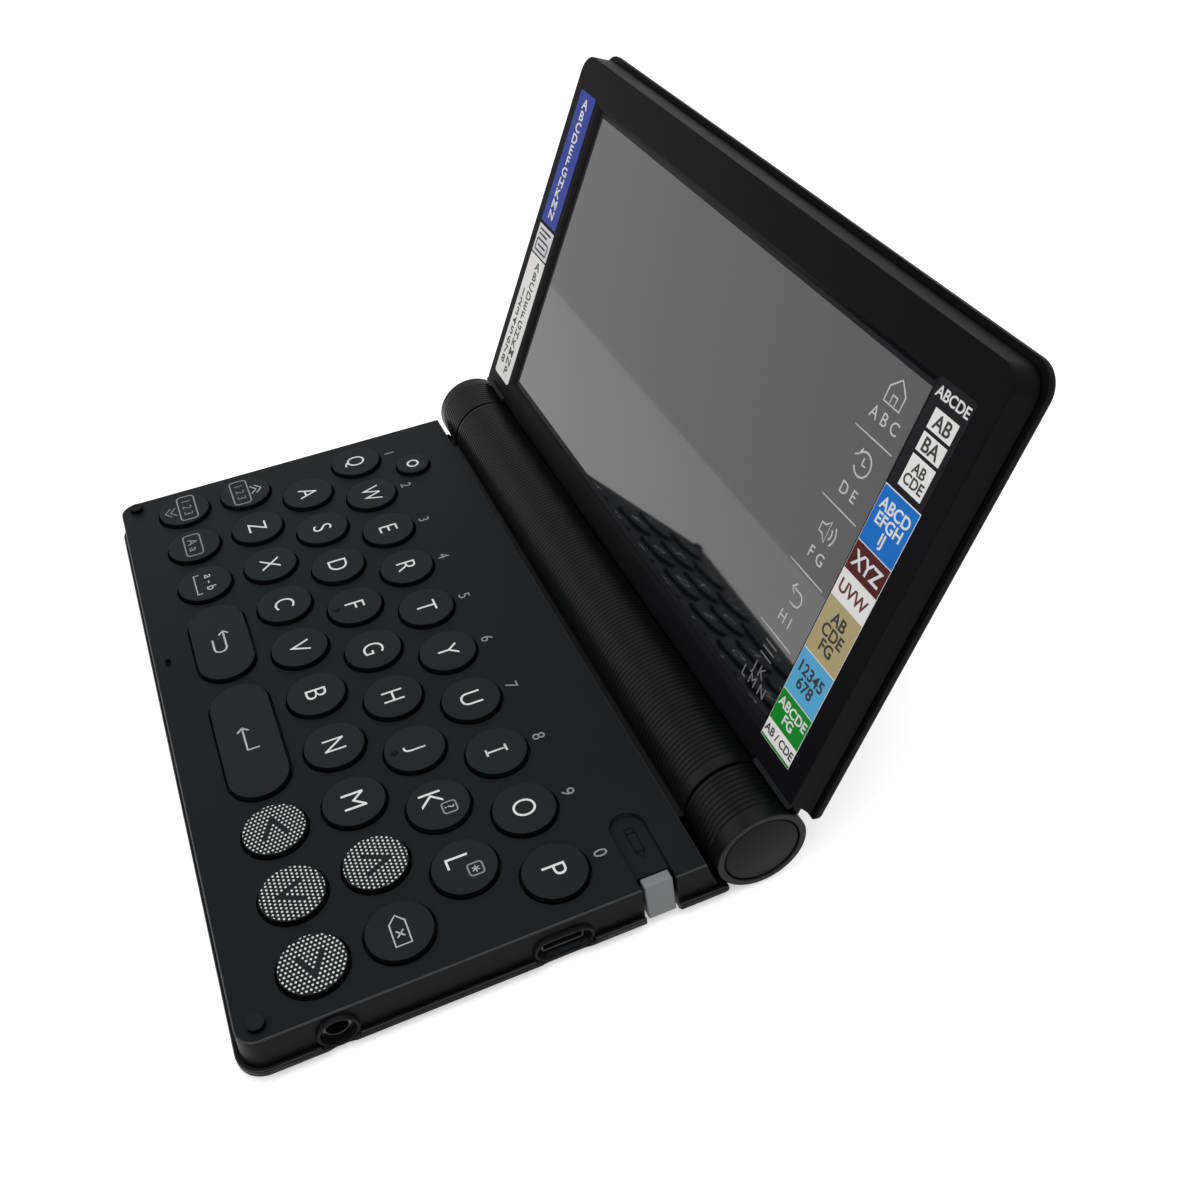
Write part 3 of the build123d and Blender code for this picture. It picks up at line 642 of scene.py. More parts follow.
def makeKeySigns():
    up = [chevron, [(x, y + legend["chevronStep"]) for x, y in chevron]]
    down = [[(x, -y) for x, y in line] for line in up]
    fine, plain = legend["fineLine"], legend["line"]
    signs = [
        # name, key, lines, line width, ink
        ("pageUpFrame", "page_up", moved([pageFrame], -0.5, -1.1), fine, inkGrey),
        ("pageUpArrows", "page_up", moved(up, -0.3, 2.1), fine, inkPale),
        ("pageDownFrame", "page_down", moved([pageFrame], -0.5, 0.8), fine, inkGrey),
        ("pageDownArrows", "page_down", moved(down, -0.1, -2.6), fine, inkGrey),
        ("shiftFrame", "shift", moved([shiftFrame], -0.2, -0.2), fine, inkGrey),
        ("spaceMark", "space", moved(spaceMark, 0, -1.4), fine, inkPale),
        ("deleteTag", "delete", deleteTag, fine, inkPale),
        ("backArrow", "back", moved(backArrow, 0.4, -0.2), plain, inkPale),
        ("enterArrow", "enter", enterArrow, plain, inkPale),
        ("powerRing", "power", powerRing, legend["ringLine"], inkWhite),
    ]
    for name, node, lines, width, ink in signs:
        printOn(name, "key_" + node, drawn(lines, width), ink)
    words = [
        # name, key, text, cap height, ink, x, y
        ("pageUpMark", "page_up", "1 2 3", 2.0, inkDim, -0.5, -1.1),
        ("pageDownMark", "page_down", "1 2 3", 2.0, inkDim, -0.5, 0.8),
        ("shiftMark", "shift", "A a", 2.1, inkGrey, -0.2, -0.2),
        ("spaceLetters", "space", "a - b", 2.0, inkPale, 0, 1.2),
    ]
    for name, node, text, cap, ink, x, y in words:
        printOn(name, "key_" + node, glyph(text, cap * mm, legend["wordWidth"]), ink, x, y)


def makeHomeDots():
    radius, height = legend["homeDot"]
    for letter in "fj":
        nothing()
        bpy.ops.mesh.primitive_uv_sphere_add(segments=24, ring_count=12, radius=radius)
        bump = bpy.context.object
        bump.scale.z = height / radius
        placed(bump)
        editAll(bump)
        bpy.ops.mesh.bisect(plane_co=(0, 0, 0), plane_no=(0, 0, 1), clear_inner=True, use_fill=True,
                            threshold=legend["dotCut"])
        leaveEdit()
        smoothen(bump)
        # the bump is painted in the darker black: painted shade round the home dot
        printOn("homeDot_" + letter, "key_" + letter, bump, paintedShadeBlack, *legend["homeAt"])


# an arrow key carries a field of small dots, with a chevron left bare in it
dots = {"pitch": 0.785 * mm, "radius": 0.23 * mm, "rows": 7, "reach": 5.62 * mm, "rim": 5.52 * mm,
        "tip": 3, "foot": -2, "sides": 10, "taper": 0.85}


def makeArrowDots():
    nothing()
    bpy.ops.mesh.primitive_cone_add(vertices=dots["sides"], radius1=dots["radius"],
                                    radius2=dots["radius"] * dots["taper"], depth=2 * inkDepth)
    dot = placed(bpy.context.object)
    pitch, rows = dots["pitch"], dots["rows"]
    spots = []
    for row in range(-rows, rows + 1):
        bare = dots["tip"] - row if dots["foot"] <= row <= dots["tip"] else None
        for column in range(-2 * rows, 2 * rows + 1):
            spot = Vector((column * pitch / 2, row * pitch, 0))
            if spot.length < dots["reach"] and (column + row) % 2 == 1 and abs(column) != bare:
                spots.append(spot)
    field = stamped(dot, spots)
    for vertex in field.data.vertices:  # the outermost dots are cut off by the rim of the key
        inward = min(1, dots["rim"] / vertex.co.xy.length)
        vertex.co.xy *= inward
    for name, turn in arrows.items():
        turned = duplicate(field, name, Matrix.Rotation(math.radians(turn), 4, "Z"))
        printOn("dots_" + name, "key_" + name, turned, inkWhite)
    bpy.data.objects.remove(dot)
    bpy.data.objects.remove(field)


# the ribbed barrel and the two knuckles of the hinge

barrel = {
    "radius": 8.4 * mm,
    "steps": 84,
    "half": 64.9 * mm,
    "pitch": 1.04 * mm,
    "groove": 0.26 * mm,
    "slope": 0.24 * mm,
    "land": 1.0 * mm,
    "endRound": 0.15 * mm,
    "door": {"half": 53.0 * mm, "from": -126, "to": -30, "gap": 0.12 * mm, "inner": 7.35 * mm,
             "over": 1 * mm},
    "smooth": 25,
    "webRear": 45.0 * mm,
    "webDrop": 1.0 * mm,
    "webEdge": 0.15 * mm,
}
knuckle = {
    "sides": {"Right": 1, "Left": -1},
    "start": 65.6 * mm,
    "end": 78.2 * mm,
    "innerLand": 0.5 * mm,
    "land": 1.5 * mm,
    "rimRadius": 7.15 * mm,
    "capDepth": 1.5 * mm,
    "webEnd": 76.1 * mm,
    "webFront": 1.0 * mm,
    "webBack": 4.6 * mm,
    "webReach": 9.7 * mm,
    "webRoot": 6 * mm,
    # the ledge that joins the lid's lower edge to the knuckle: up the lid, out of its face
    "ledge": [(9.9, -0.05), (8.95, 0.42), (8.3, -0.6), (9.9, -1.1)],
    "ledgeEnd": 77.3 * mm,
    # the lip that closes the gap behind the barrel, a dark strip that paints the shade in that gap
    "lip": [(9.9, -0.2), (8.75, -0.3), (8.65, -1.2), (9.9, -1.2)],
    "capEdge": 0.22 * mm,
    "capSlope": 0.9,
}


def lathe(profile, fromAngle=0.0, turn=360.0):
    start = math.radians(fromAngle)
    across, rise = math.cos(start), math.sin(start)
    piece = traced([(x, hinge["y"] + r * across, hinge["z"] + r * rise) for x, r in profile])
    editAll(piece)
    if profile[0] == profile[-1]:
        bpy.ops.mesh.remove_doubles(threshold=tiny)
        bpy.ops.mesh.edge_face_add()
    steps = max(6, round(barrel["steps"] * turn / 360))
    bpy.ops.mesh.spin(steps=steps, angle=math.radians(turn), center=(0, hinge["y"], hinge["z"]),
                      axis=(-1, 0, 0))
    bpy.ops.mesh.select_all(action="SELECT")
    bpy.ops.mesh.remove_doubles(threshold=tiny)
    leaveEdit()
    return faceOutwards(piece)


def ribbed(start, end, firstLand, lastLand):
    radius = barrel["radius"]
    low = radius - barrel["groove"]
    slope = barrel["slope"]
    line = [(start, radius)]
    x = start + firstLand
    while x + barrel["pitch"] < end - lastLand:
        line += [(x, radius), (x + slope, low), (x + 2 * slope, radius)]
        x += barrel["pitch"]
    return line + [(end, radius)]


def makeBarrel():
    half = barrel["half"]
    small = barrel["endRound"]
    middle = ribbed(-half + small, half - small, barrel["land"], barrel["land"])
    radius = barrel["radius"]
    profile = [(-half, 0), (-half, radius - small), *middle, (half, radius - small), (half, 0)]
    tube = lathe(profile)
    door = barrel["door"]
    pieces = {}
    for name, grow in (("door", 0.0), ("gap", door["gap"])):
        reach = door["half"] + grow
        edge = math.degrees(grow / radius)
        inner = door["inner"]
        outer = radius + door["over"]
        corners = [(-reach, inner), (-reach, outer), (reach, outer), (reach, inner), (-reach, inner)]
        span = door["to"] - door["from"] + 2 * edge
        pieces[name] = lathe(corners, door["from"] - edge, span)
    cover = duplicate(tube, "cover")
    useModifier(cover, "BOOLEAN", operation="INTERSECT", solver="EXACT", object=pieces["door"])
    useModifier(tube, "BOOLEAN", operation="DIFFERENCE", solver="EXACT", object=pieces["gap"])
    for piece in pieces.values():
        bpy.data.objects.remove(piece)
    low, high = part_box("base_top_case")
    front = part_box("hinge_barrel")[0].y
    web = block((-half, front, low.z), (half, barrel["webRear"], high.z - barrel["webDrop"]))
    roundEdges(web, barrel["webEdge"])
    smoothen(tube, barrel["smooth"])
    smoothen(cover, barrel["smooth"])
    smoothen(web)
    finishPiece(tube, "barrelTube", "base", barrelBlack, ["hinge_barrel"])
    finishPiece(cover, "barrelDoor", "base", barrelBlack, ["battery_cover"])
    # the web between plate and barrel is painted in the darker black: painted shade in that gap
    finishPiece(web, "barrelWeb", "base", paintedShadeBlack, ["hinge_barrel"])


def makeKnuckles():
    start, end = knuckle["start"], knuckle["end"]
    small = barrel["endRound"]
    radius = barrel["radius"]
    rim = knuckle["rimRadius"]
    middle = ribbed(start + small, end - small, knuckle["innerLand"], knuckle["land"])
    profile = [(start, 0), (start, radius - small), *middle, (end, radius - small), (end, rim + small),
               (end - small, rim), (end - knuckle["capDepth"], rim), (end - knuckle["capDepth"], 0)]
    drum = lathe(profile)
    face = hinge["z"] + hinge["faceAhead"]
    web = block((start, hinge["y"] - knuckle["webReach"], face + knuckle["webFront"]),
                (knuckle["webEnd"], hinge["y"] - knuckle["webRoot"], face + knuckle["webBack"]))
    roundEdges(web, barrel["webEdge"])
    ledge = prism(knuckle["ledge"], start, knuckle["ledgeEnd"])
    roundEdges(ledge, barrel["webEdge"] / 2)
    for name, side in knuckle["sides"].items():
        piece = duplicate(ledge, "ledge", lidPlane @ Matrix.Diagonal((side, 1, 1, 1)))
        smoothen(faceOutwards(piece), barrel["smooth"])
        finishPiece(piece, "knuckleLedge" + name, "lid", plateBlack, ["hinge_knuckles"])
    bpy.data.objects.remove(ledge)
    # a dark strip behind the barrel that paints the gap's shade
    lip = placed(prism(knuckle["lip"], -barrel["half"], barrel["half"]), lidPlane)
    finishPiece(lip, "hingeShadeLip", "lid", paintedShadeBlack)
    opening = (Matrix.Translation((0, hinge["y"], hinge["z"])) @ Matrix.Rotation(-hinge["open"], 4, "X")
               @ Matrix.Translation((0, -hinge["y"], -hinge["z"])))
    for name, side in knuckle["sides"].items():
        flip = opening @ Matrix.Diagonal((side, 1, 1, 1))
        for model, part in ((drum, "knuckle"), (web, "knuckleWeb")):
            piece = duplicate(model, part, flip)
            if side < 0:
                faceOutwards(piece)
            smoothen(piece, barrel["smooth"])
            material = barrelBlack if part == "knuckle" else bezelBlack
            finishPiece(piece, part + name, "lid", material, ["hinge_knuckles"])
    bpy.data.objects.remove(drum)
    bpy.data.objects.remove(web)
    caps = mergedCopy("knuckle_caps")
    roundEdges(caps, knuckle["capEdge"], angle=sharpEdge)
    smoothen(caps)
    # cap faces that don't face along the hinge take the darker black: painted shade on rims and the gap
    # ring
    paintShadeAndHighlight(caps, capBlack, paintedShadeBlack, lambda face: abs(face.normal.x) < knuckle["capSlope"])
    finishPiece(caps, "knuckleCaps", "lid", None, ["knuckle_caps"])


# housings that keep their solid's shape, with softened edges

housings = {
    # node: name, body, material, slot, edge in mm, smallest angle that is rounded
    # the tray is painted in the darker black as painted shade, with a painted highlight on its lip's
    # rounded top
    "base_bottom_tray": ("bottomTray", "base", paintedShadeBlack, "case", 0.2, 50),
    "screen_bezel": ("screenBezel", "lid", bezelBlack, "case", 0.2, 50),
    "lid_back_cover": ("backCover", "lid", coverBlack, "case", 0.15, 40),
    "stylus": ("pen", "stylus", stylusGrey, "stylus", 0.4, 30),
    "rubber_feet": ("feet", "base", rubberBlack, "rubber", 0.2, 50),
    "data_socket": ("dataSocket", "base", socketSteel, "steel", 0.05, 50),
    "headphone_jack": ("headphoneJack", "base", socketBlack, "steel", 0.1, 50),
}
bumpers = {"sides": 48, "edge": 0.12 * mm}
housingEdge = {
    "spared": 10.2 * mm,  # edges nearer the hinge than this stay sharp
    "trayCorner": 1.3 * mm,
    "cornerSegments": 5,
    "lipSlope": (0.6, 0.95),  # faces this steep on the tray's lip take a painted highlight along its rounded upper edge
    "window": (-65.5, 65.5, 13.0, 82.2),
    "glass": -1.6 * mm,
    "windowSlope": 0.3,
    "leftBand": 4,  # beside the window's left edge gentler slopes take the painted shade too
    "leftSlope": 0.9,
}
toLid = lidPlane.inverted()


def nearHinge(point):
    return math.hypot(point.y - hinge["y"], point.z - hinge["z"]) < housingEdge["spared"]


def roundCorners(tray):
    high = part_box("base_bottom_tray")[1]
    reach = housingEdge["trayCorner"]

    def rearCorner(a, b):
        level = abs(a.x - b.x) < tiny and abs(a.y - b.y) < tiny
        return level and a.y > high.y - reach / 2 and abs(a.x) > high.x - reach / 2

    pickEdges(tray, rearCorner)
    bpy.ops.mesh.bevel(offset=reach, segments=housingEdge["cornerSegments"], affect="EDGES")
    leaveEdit()


def lipHighlightFaces(face):
    low, high = housingEdge["lipSlope"]
    return low < face.normal.z < high


# faces on the window's inner walls, and gentler slopes beside its left edge, take painted shade
def windowShadeFaces(face):
    middle = toLid @ face.center
    rise = (toLid.to_3x3() @ face.normal).z
    left, right, bottom, top = housingEdge["window"]
    inside = left < middle.x / mm < right and bottom < middle.y / mm < top
    steep = housingEdge["windowSlope"]
    if middle.x / mm < left + housingEdge["leftBand"]:
        steep = housingEdge["leftSlope"]
    return inside and middle.z > housingEdge["glass"] and abs(rise) < steep


paintedSecondLooks = {
    # name: material, the faces that take it; a painted highlight on the tray's lip, painted shade inside
    # the screen window
    "bottomTray": (plateEdge, lipHighlightFaces),
    "screenBezel": (paintedShadeBlack, windowShadeFaces),
}


def makeHousings():
    for node, (name, body, material, slot, edge, angle) in housings.items():
        piece = mergedCopy(node)
        if name == "bottomTray":
            roundCorners(piece)
        pickSharp(piece, angle, lambda a, b: body != "lid" or not (nearHinge(a) and nearHinge(b)))
        bpy.ops.mesh.bevel(offset=edge * mm, segments=2, affect="EDGES")
        leaveEdit()
        smoothen(piece, weighted=True)
        if name in paintedSecondLooks:
            paintShadeAndHighlight(piece, material, *paintedSecondLooks[name])
            material = None
        finishPiece(piece, name, body, material, [node])


def makeBumpers():
    low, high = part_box("corner_bumpers")
    radius = (high.y - low.y) / 2
    model = makeKeytop(radius, high.z - low.z, bumpers["sides"], bumpers["edge"])
    side = (high.x - low.x) / 2 - radius
    # bumper sides take a near-black: painted shade round each bumper
    paintShadeAndHighlight(model, rubberBlack, bumperShadeBlack, upright)
    pair = stamped(model, [Vector((x, low.y + radius, high.z)) for x in (-side, side)])
    finishPiece(pair, "bumpers", "base", None, ["corner_bumpers"])
    bpy.data.objects.remove(model)


def dressNodes():
    looks = {
        "battery_cells": cellWrap,
        "battery_contacts": steel,
        "main_board": boardGreen,
        "key_sheet": sheetGrey,
        "speaker": steel,
        "hinge_shafts": steel,
        "touch_glass": glassDark,
        "lcd_module": displayDark,
    }
    for node, material in looks.items():
        nodes[node].data.materials.clear()
        nodes[node].data.materials.append(material)


# signs on the screen's icon strip

iconStrip = {"x": 56.9, "line": 0.37 * mm, "rule": 0.28 * mm, "divider": (-5.4, 5.0), "sink": -0.9 * mm,
             "lean": 0.016, "level": 75.0, "label": 2.1 * mm}
house = [[(-2.1, -2.2), (-2.1, 0.3), (0, 2.2), (2.1, 0.3), (2.1, -2.2), (-2.1, -2.2)],
         [(-0.6, -2.2), (-0.6, -0.6), (0.6, -0.6), (0.6, -2.2)]]
history = [arc(0.2, 0, 2.05, 150, -150, 18), [(-2.5, 0.5), (-1.6, 1.05), (-1.1, 2.2)],
           [(0, 1.1), (0, -0.1), (1.0, -0.1)]]
speakerSign = [[(-2.2, -0.8), (-2.2, 0.8), (-1.2, 0.8), (0, 1.9), (0, -1.9), (-1.2, -0.8), (-2.2, -0.8)],
               arc(-0.3, 0, 1.4, -42, 42, 6), arc(-0.3, 0, 2.4, -45, 45, 8)]
returnArrow = [[(-1.7, 1.0), (0.6, 1.0), *arc(0.6, -0.3, 1.3, 90, -90, 10), (-0.9, -1.6)],
               [(-0.7, 2.0), (-1.75, 1.0), (-0.7, 0.0)]]
menuBars = [[(-1.85, y), (1.85, y)] for y in (-1.3, 0, 1.3)]
iconPlaces = [
    # name, lines, height, label, label's drop, ink
    ("house", house, 75.7, "A B C", 4.6, glassInk),
    ("history", history, 63.1, "D E", 5.1, glassInk),
    ("speaker", speakerSign, 50.1, "F G", 4.6, glassInk),
    ("return", returnArrow, 37.2, "H I", 4.6, glassInk),
    ("menu", menuBars, 25.5, "J K\nL M N", 5.5, inkDim),
]
dividerHeights = (67.5, 54.6, 41.7, 28.8)


def stripX(height):
    return iconStrip["x"] + (height - iconStrip["level"]) * iconStrip["lean"]


def makeIcons():
    sink = iconStrip["sink"]
    for name, lines, height, label, drop, ink in iconPlaces:
        x = stripX(height) * mm
        sign = placed(drawn(lines, iconStrip["line"]), onLid(x, height * mm, sink))
        finishPiece(sign, "icon_" + name, "lid", ink)
        under = placed(glyph(label, iconStrip["label"]), onLid(x, (height - drop) * mm, sink))
        finishPiece(under, "label_" + name, "lid", ink)
    left, right = iconStrip["divider"]
    lines = [[(stripX(height) + side, height) for side in (left, right)] for height in dividerHeights]
    rules = placed(drawn(lines, iconStrip["rule"]), onLid(0, 0, sink))
    finishPiece(rules, "iconDividers", "lid", glassInk)


# sticker strips beside the screen, with plain letters and numbers only

sticker = {"thick": 0.08 * mm, "backing": 0.04 * mm, "corner": 0.7 * mm, "segments": 4}
rightBacking = (64.1, 73.5, 64.3, 14.0)
header = {"card": (64.3, 73.4, 82.6, 64.5), "text": "ABCDE", "cap": 1.7 * mm, "at": (68.9, 80.6)}
rightStrip = [
    # name, left, right, top, bottom, colour, mark, ink, cap height
    ("card1", 66.4, 72.2, 78.4, 75.1, "white", "AB", inkDark, 2.2),
    ("card2", 66.4, 72.2, 74.5, 71.4, "white", "BA", inkDark, 2.2),
    ("card3", 66.4, 72.2, 70.8, 65.4, "white", "AB\nCDE", inkDark, 1.7),
    ("blueCard", 64.2, 73.4, 64.1, 54.2, "blue", "ABCD\nEFGH\nIJ", inkWhite, 1.95),
    ("brownCard", 64.2, 73.4, 54.0, 48.8, "brown", "XYZ", inkWhite, 2.6),
    ("whiteCard", 64.2, 73.4, 48.6, 43.8, "white", "UVW", inkMaroon, 2.2),
    ("tanCard", 64.2, 73.4, 43.6, 33.1, "tan", "AB\nCDE\nFG", inkDark, 2.1),
    ("skyCard", 64.2, 73.4, 32.9, 24.4, "sky", "12345\n678", inkDark, 2.1),
    ("greenCard", 64.2, 73.4, 24.2, 17.9, "green", "ABCDE\nFG", inkWhite, 1.8),
    ("lowCard", 64.2, 73.4, 17.7, 14.7, "white", "AB / CDE", inkDark, 1.5),
    ("edgeCard", 64.2, 73.4, 14.5, 14.1, "green", "", inkDark, 1.0),
]
leftStrip = [
    # name, top, bottom, colour, rounded ends
    ("navyCard", 82.6, 52.3, "navy", (True, False)),
    ("slantCard", 51.5, 44.7, "silver", (False, False)),
    ("longCard", 44.3, 12.9, "white", (False, True)),
]
leftSides = {"top": (-74.4, -66.2, 82.6), "bottom": (-74.8, -65.7, 12.9)}
leftColumns = [
    # name, x, from, step, marks, ink, cap height
    ("navyMarks", -70.4, 80.2, -2.54, "ABCDEFGHKMN", inkWhite, 2.0),
    ("longMarksA", -72.4, 34.8, -2.5, "12345678", inkDark, 1.9),
    ("longMarksB", -69.1, 42.4, -2.45, "ABCDEFGHKMNP", inkDark, 1.9),
]
slant = {"line": 0.5 * mm, "at": (-70.4, 48.1)}
slantLines = [[(-3.2, 2.4), (3.2, 2.4)], [(-3.2, 1.3), (1.6, 1.3)], roundedFrame(0, -1.2, 6.4, 2.6, 0.4),
              [(-2.2, -1.2), (2.2, -1.2)]]


def makeCard(left, right, top, bottom, thick, roundTop=False, roundBottom=False):
    card = block((left * mm, bottom * mm, 0), (right * mm, top * mm, thick))
    middle = (top + bottom) / 2 * mm

    def corner(a, b):
        standing = abs(a.x - b.x) < tiny and abs(a.y - b.y) < tiny
        return standing and (roundTop if a.y > middle else roundBottom)

    if roundTop or roundBottom:
        pickEdges(card, corner)
        bpy.ops.mesh.bevel(offset=sticker["corner"], segments=sticker["segments"], affect="EDGES")
        leaveEdit()
    return card


def makeRightStrip():
    backing = makeCard(*rightBacking, sticker["backing"])
    finishPiece(placed(backing, lidPlane), "sticker_backing", "lid", stickers["white"])
    card = makeCard(*header["card"], sticker["backing"], True)
    finishPiece(placed(card, lidPlane), "sticker_header", "lid", stickers["black"])
    x, height = header["at"]
    title = glyph(header["text"], header["cap"], thick=writing["bold"])
    placed(title, onLid(x * mm, height * mm, sticker["backing"]))
    finishPiece(title, "mark_header", "lid", inkWhite)
    for name, left, right, top, bottom, colour, mark, ink, cap in rightStrip:
        card = placed(makeCard(left, right, top, bottom, sticker["thick"]), lidPlane)
        finishPiece(card, "sticker_" + name, "lid", stickers[colour])
        if mark:
            middle = onLid((left + right) / 2 * mm, (top + bottom) / 2 * mm, sticker["thick"])
            sign = placed(glyph(mark, cap * mm, thick=writing["bold"]), middle)
            finishPiece(sign, "mark_" + name, "lid", ink)


def makeLeftStrip():
    highLeft, highRight, high = leftSides["top"]
    lowLeft, lowRight, low = leftSides["bottom"]
    for name, top, bottom, colour, (roundTop, roundBottom) in leftStrip:
        card = makeCard(highLeft, highRight, top, bottom, sticker["thick"], roundTop, roundBottom)
        for point in card.data.vertices:
            down = (high - point.co.y / mm) / (high - low)
            along = (point.co.x / mm - highLeft) / (highRight - highLeft)
            left = highLeft + (lowLeft - highLeft) * down
            right = highRight + (lowRight - highRight) * down
            point.co.x = (left + (right - left) * along) * mm
        finishPiece(placed(card, lidPlane), "sticker_" + name, "lid", stickers[colour])
    for name, x, start, step, marks, ink, cap in leftColumns:
        signs = []
        for n, mark in enumerate(marks):
            spot = onLid(x * mm, (start + n * step) * mm, sticker["thick"])
            signs.append(placed(glyph(mark, cap * mm, writing["wide"], writing["bold"]), spot))
        finishPiece(joined(signs), name, "lid", ink)
    x, height = slant["at"]
    marks = placed(drawn(slantLines, slant["line"]), onLid(x * mm, height * mm, sticker["thick"]))
    finishPiece(marks, "slantMarks", "lid", inkDark)


# black strips on the glass along the screen's bottom, top and left edges

screenEdge = {"left": -63.4, "right": 62.9, "bottom": (14.9, 16.1), "top": (80.0, 81.0), "side": 1.1}


def makeScreenEdge():
    left, right = screenEdge["left"], screenEdge["right"]
    bottom, top = screenEdge["bottom"], screenEdge["top"]
    strips = [makeCard(left, right, high, low, inkDepth) for low, high in (bottom, top)]
    strips.append(makeCard(left, left + screenEdge["side"], top[0], bottom[1], inkDepth))
    strip = placed(joined(strips), onLid(0, 0, iconStrip["sink"]))
    finishPiece(strip, "screenEdge", "lid", stickers["black"])


# pen sign in the groove, screws underneath

penSign = {"x": 66.8, "y": 30.65, "z": 8.6 * mm, "line": 0.34 * mm, "rise": 5.0}
penLines = [[(-3.2, -0.8), (2.0, -0.8), (3.4, 0), (2.0, 0.8), (-3.2, 0.8), (-3.2, -0.8)],
            [(2.0, -0.8), (2.0, 0.8)], [(-2.2, -0.8), (-2.2, 0.8)]]
screws = {"radius": 1.9 * mm, "height": 0.45 * mm, "slot": (2.2 * mm, 0.5 * mm), "deep": 0.3 * mm,
          "sides": 32, "edge": 0.12 * mm,
          "places": [(-53, -32), (53, -32), (-68, 28), (55, 28)]}


def makePenSign():
    sign = drawn(penLines, penSign["line"])
    placed(sign, Matrix.Diagonal((1, 1, penSign["rise"], 1)))
    placed(sign, Matrix.Translation((penSign["x"] * mm, penSign["y"] * mm, penSign["z"])))
    # the sign is painted in the darker black: painted shade outlining the raised letters
    finishPiece(sign, "penSign", "base", paintedShadeBlack)


def makeScrews():
    nothing()
    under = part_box("base_bottom_tray")[0].z
    bpy.ops.mesh.primitive_cylinder_add(vertices=screws["sides"], radius=screws["radius"],
                                        depth=screws["height"], location=(0, 0, under))
    head = placed(bpy.context.object)
    roundEdges(head, screws["edge"], angle=sharpEdge)
    long, wide = screws["slot"]
    floor = under - screws["height"]
    bars = [block((-a / 2, -b / 2, floor), (a / 2, b / 2, under - screws["height"] / 2 + screws["deep"]))
            for a, b in ((long, wide), (wide, long))]
    for bar in bars:
        useModifier(head, "BOOLEAN", operation="DIFFERENCE", solver="EXACT", object=bar)
        bpy.data.objects.remove(bar)
    smoothen(head)
    for n, (x, y) in enumerate(screws["places"]):
        screw = duplicate(head, "screw", Matrix.Translation((x * mm, y * mm, 0)))
        finishPiece(screw, "screw%d" % (n + 1), "base", screwBlack)
    bpy.data.objects.remove(head)


makePlate()
makeKeys()
makeLetters()
makeKeySigns()
makeHomeDots()
makeArrowDots()
print("keyboard made")
makeBarrel()
makeKnuckles()
print("hinge made")
makeHousings()
makeBumpers()
dressNodes()
makeIcons()
makeRightStrip()
makeLeftStrip()
makeScreenEdge()
makePenSign()
makeScrews()
print("lid and trim made")


# floor, light and camera

studio = {
    "floorSides": (-2.0, 2.0, -0.205, 2.0),
    "floorColour": 0.82,
    "floorRoughness": 0.9,
    "floorSpecular": 0.1,
    "floorGlow": 0.42,
    "roomLight": 0.62,
    "camera": {"at": (0.19518, -0.01637, 0.18296), "turn": (48.904, 4.013, 67.299), "lens": 38.0,
               "sensor": 36, "nearest": 10 * mm},
    "lamps": [
        # name, place, aimed at, size, power
        ("overhead", (0.1, 0.25, 1.1), (0, 0, 0), 1.4, 7.0),
        ("front", (0.5, -0.8, 0.7), (0, 0, 0.02), 0.9, 3.0),
        ("side", (-0.6, -0.9, 0.7), (0, 0, 0.03), 0.9, 1.6),
    ],
}


def seenRays(tree):
    path = tree.nodes.new("ShaderNodeLightPath")
    total = path.outputs["Is Camera Ray"]
    for name in ("Is Glossy Ray", "Is Transmission Ray"):
        more = tree.nodes.new("ShaderNodeMath")
        more.operation = "MAXIMUM"
        tree.links.new(total, more.inputs[0])
        tree.links.new(path.outputs[name], more.inputs[1])
        total = more.outputs["Value"]
    return total


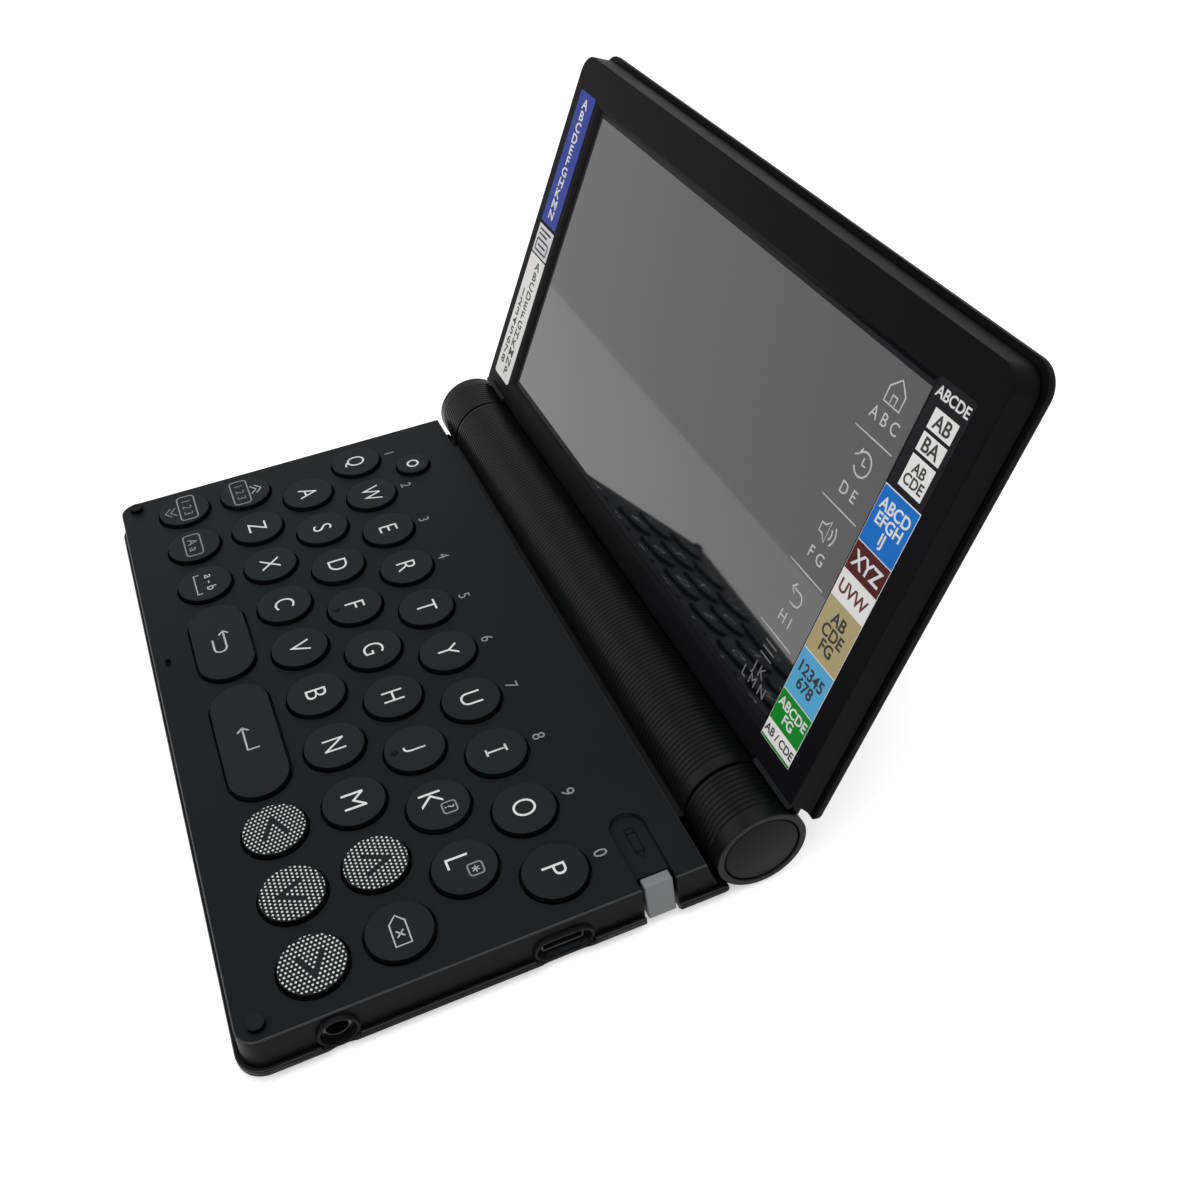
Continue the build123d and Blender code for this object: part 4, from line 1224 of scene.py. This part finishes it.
def makeFloor():
    left, right, front, back = studio["floorSides"]
    nothing()
    bpy.ops.mesh.primitive_plane_add(size=1, location=((left + right) / 2, (front + back) / 2, 0))
    floor = bpy.context.object
    floor.scale = (right - left, back - front, 1)
    placed(floor)
    floor.name = "floor"
    material = bpy.data.materials.new("floorPale")
    material.use_nodes = True
    tree = material.node_tree
    shader = tree.nodes["Principled BSDF"]
    pale = studio["floorColour"]
    shader.inputs["Base Color"].default_value = (pale, pale, pale, 1)
    shader.inputs["Roughness"].default_value = studio["floorRoughness"]
    shader.inputs["Specular IOR Level"].default_value = studio["floorSpecular"]
    glow = tree.nodes.new("ShaderNodeEmission")
    share = tree.nodes.new("ShaderNodeMath")
    share.operation = "MULTIPLY"
    share.inputs[1].default_value = studio["floorGlow"]
    tree.links.new(seenRays(tree), share.inputs[0])
    tree.links.new(share.outputs["Value"], glow.inputs["Strength"])
    total = tree.nodes.new("ShaderNodeAddShader")
    tree.links.new(shader.outputs["BSDF"], total.inputs[0])
    tree.links.new(glow.outputs["Emission"], total.inputs[1])
    tree.links.new(total.outputs["Shader"], tree.nodes["Material Output"].inputs["Surface"])
    floor.data.materials.append(material)


def makeWorld():
    world = bpy.data.worlds.new("studioWorld")
    bpy.context.scene.world = world
    world.use_nodes = True
    tree = world.node_tree
    room = tree.nodes["Background"]
    room.inputs["Color"].default_value = (1, 1, 1, 1)
    strength = tree.nodes.new("ShaderNodeMapRange")
    strength.inputs["To Min"].default_value = studio["roomLight"]
    strength.inputs["To Max"].default_value = 1.0
    tree.links.new(seenRays(tree), strength.inputs["Value"])
    tree.links.new(strength.outputs["Result"], room.inputs["Strength"])


def makeLamps():
    for name, place, aim, size, power in studio["lamps"]:
        nothing()
        bpy.ops.object.light_add(type="AREA", location=place)
        lamp = bpy.context.object
        lamp.name = name
        lamp.data.shape = "DISK"
        lamp.data.size = size
        lamp.data.energy = power
        lamp.rotation_euler = (Vector(aim) - Vector(place)).to_track_quat("-Z", "Y").to_euler()


def makeCamera():
    nothing()
    view = studio["camera"]
    bpy.ops.object.camera_add(location=view["at"])
    camera = bpy.context.object
    camera.rotation_euler = [math.radians(a) for a in view["turn"]]
    camera.data.lens = view["lens"]
    camera.data.sensor_width = view["sensor"]
    camera.data.clip_start = view["nearest"]
    bpy.context.scene.camera = camera


makeFloor()
makeWorld()
makeLamps()
makeCamera()
bpy.context.scene.view_settings.view_transform = "Standard"
print("studio made")
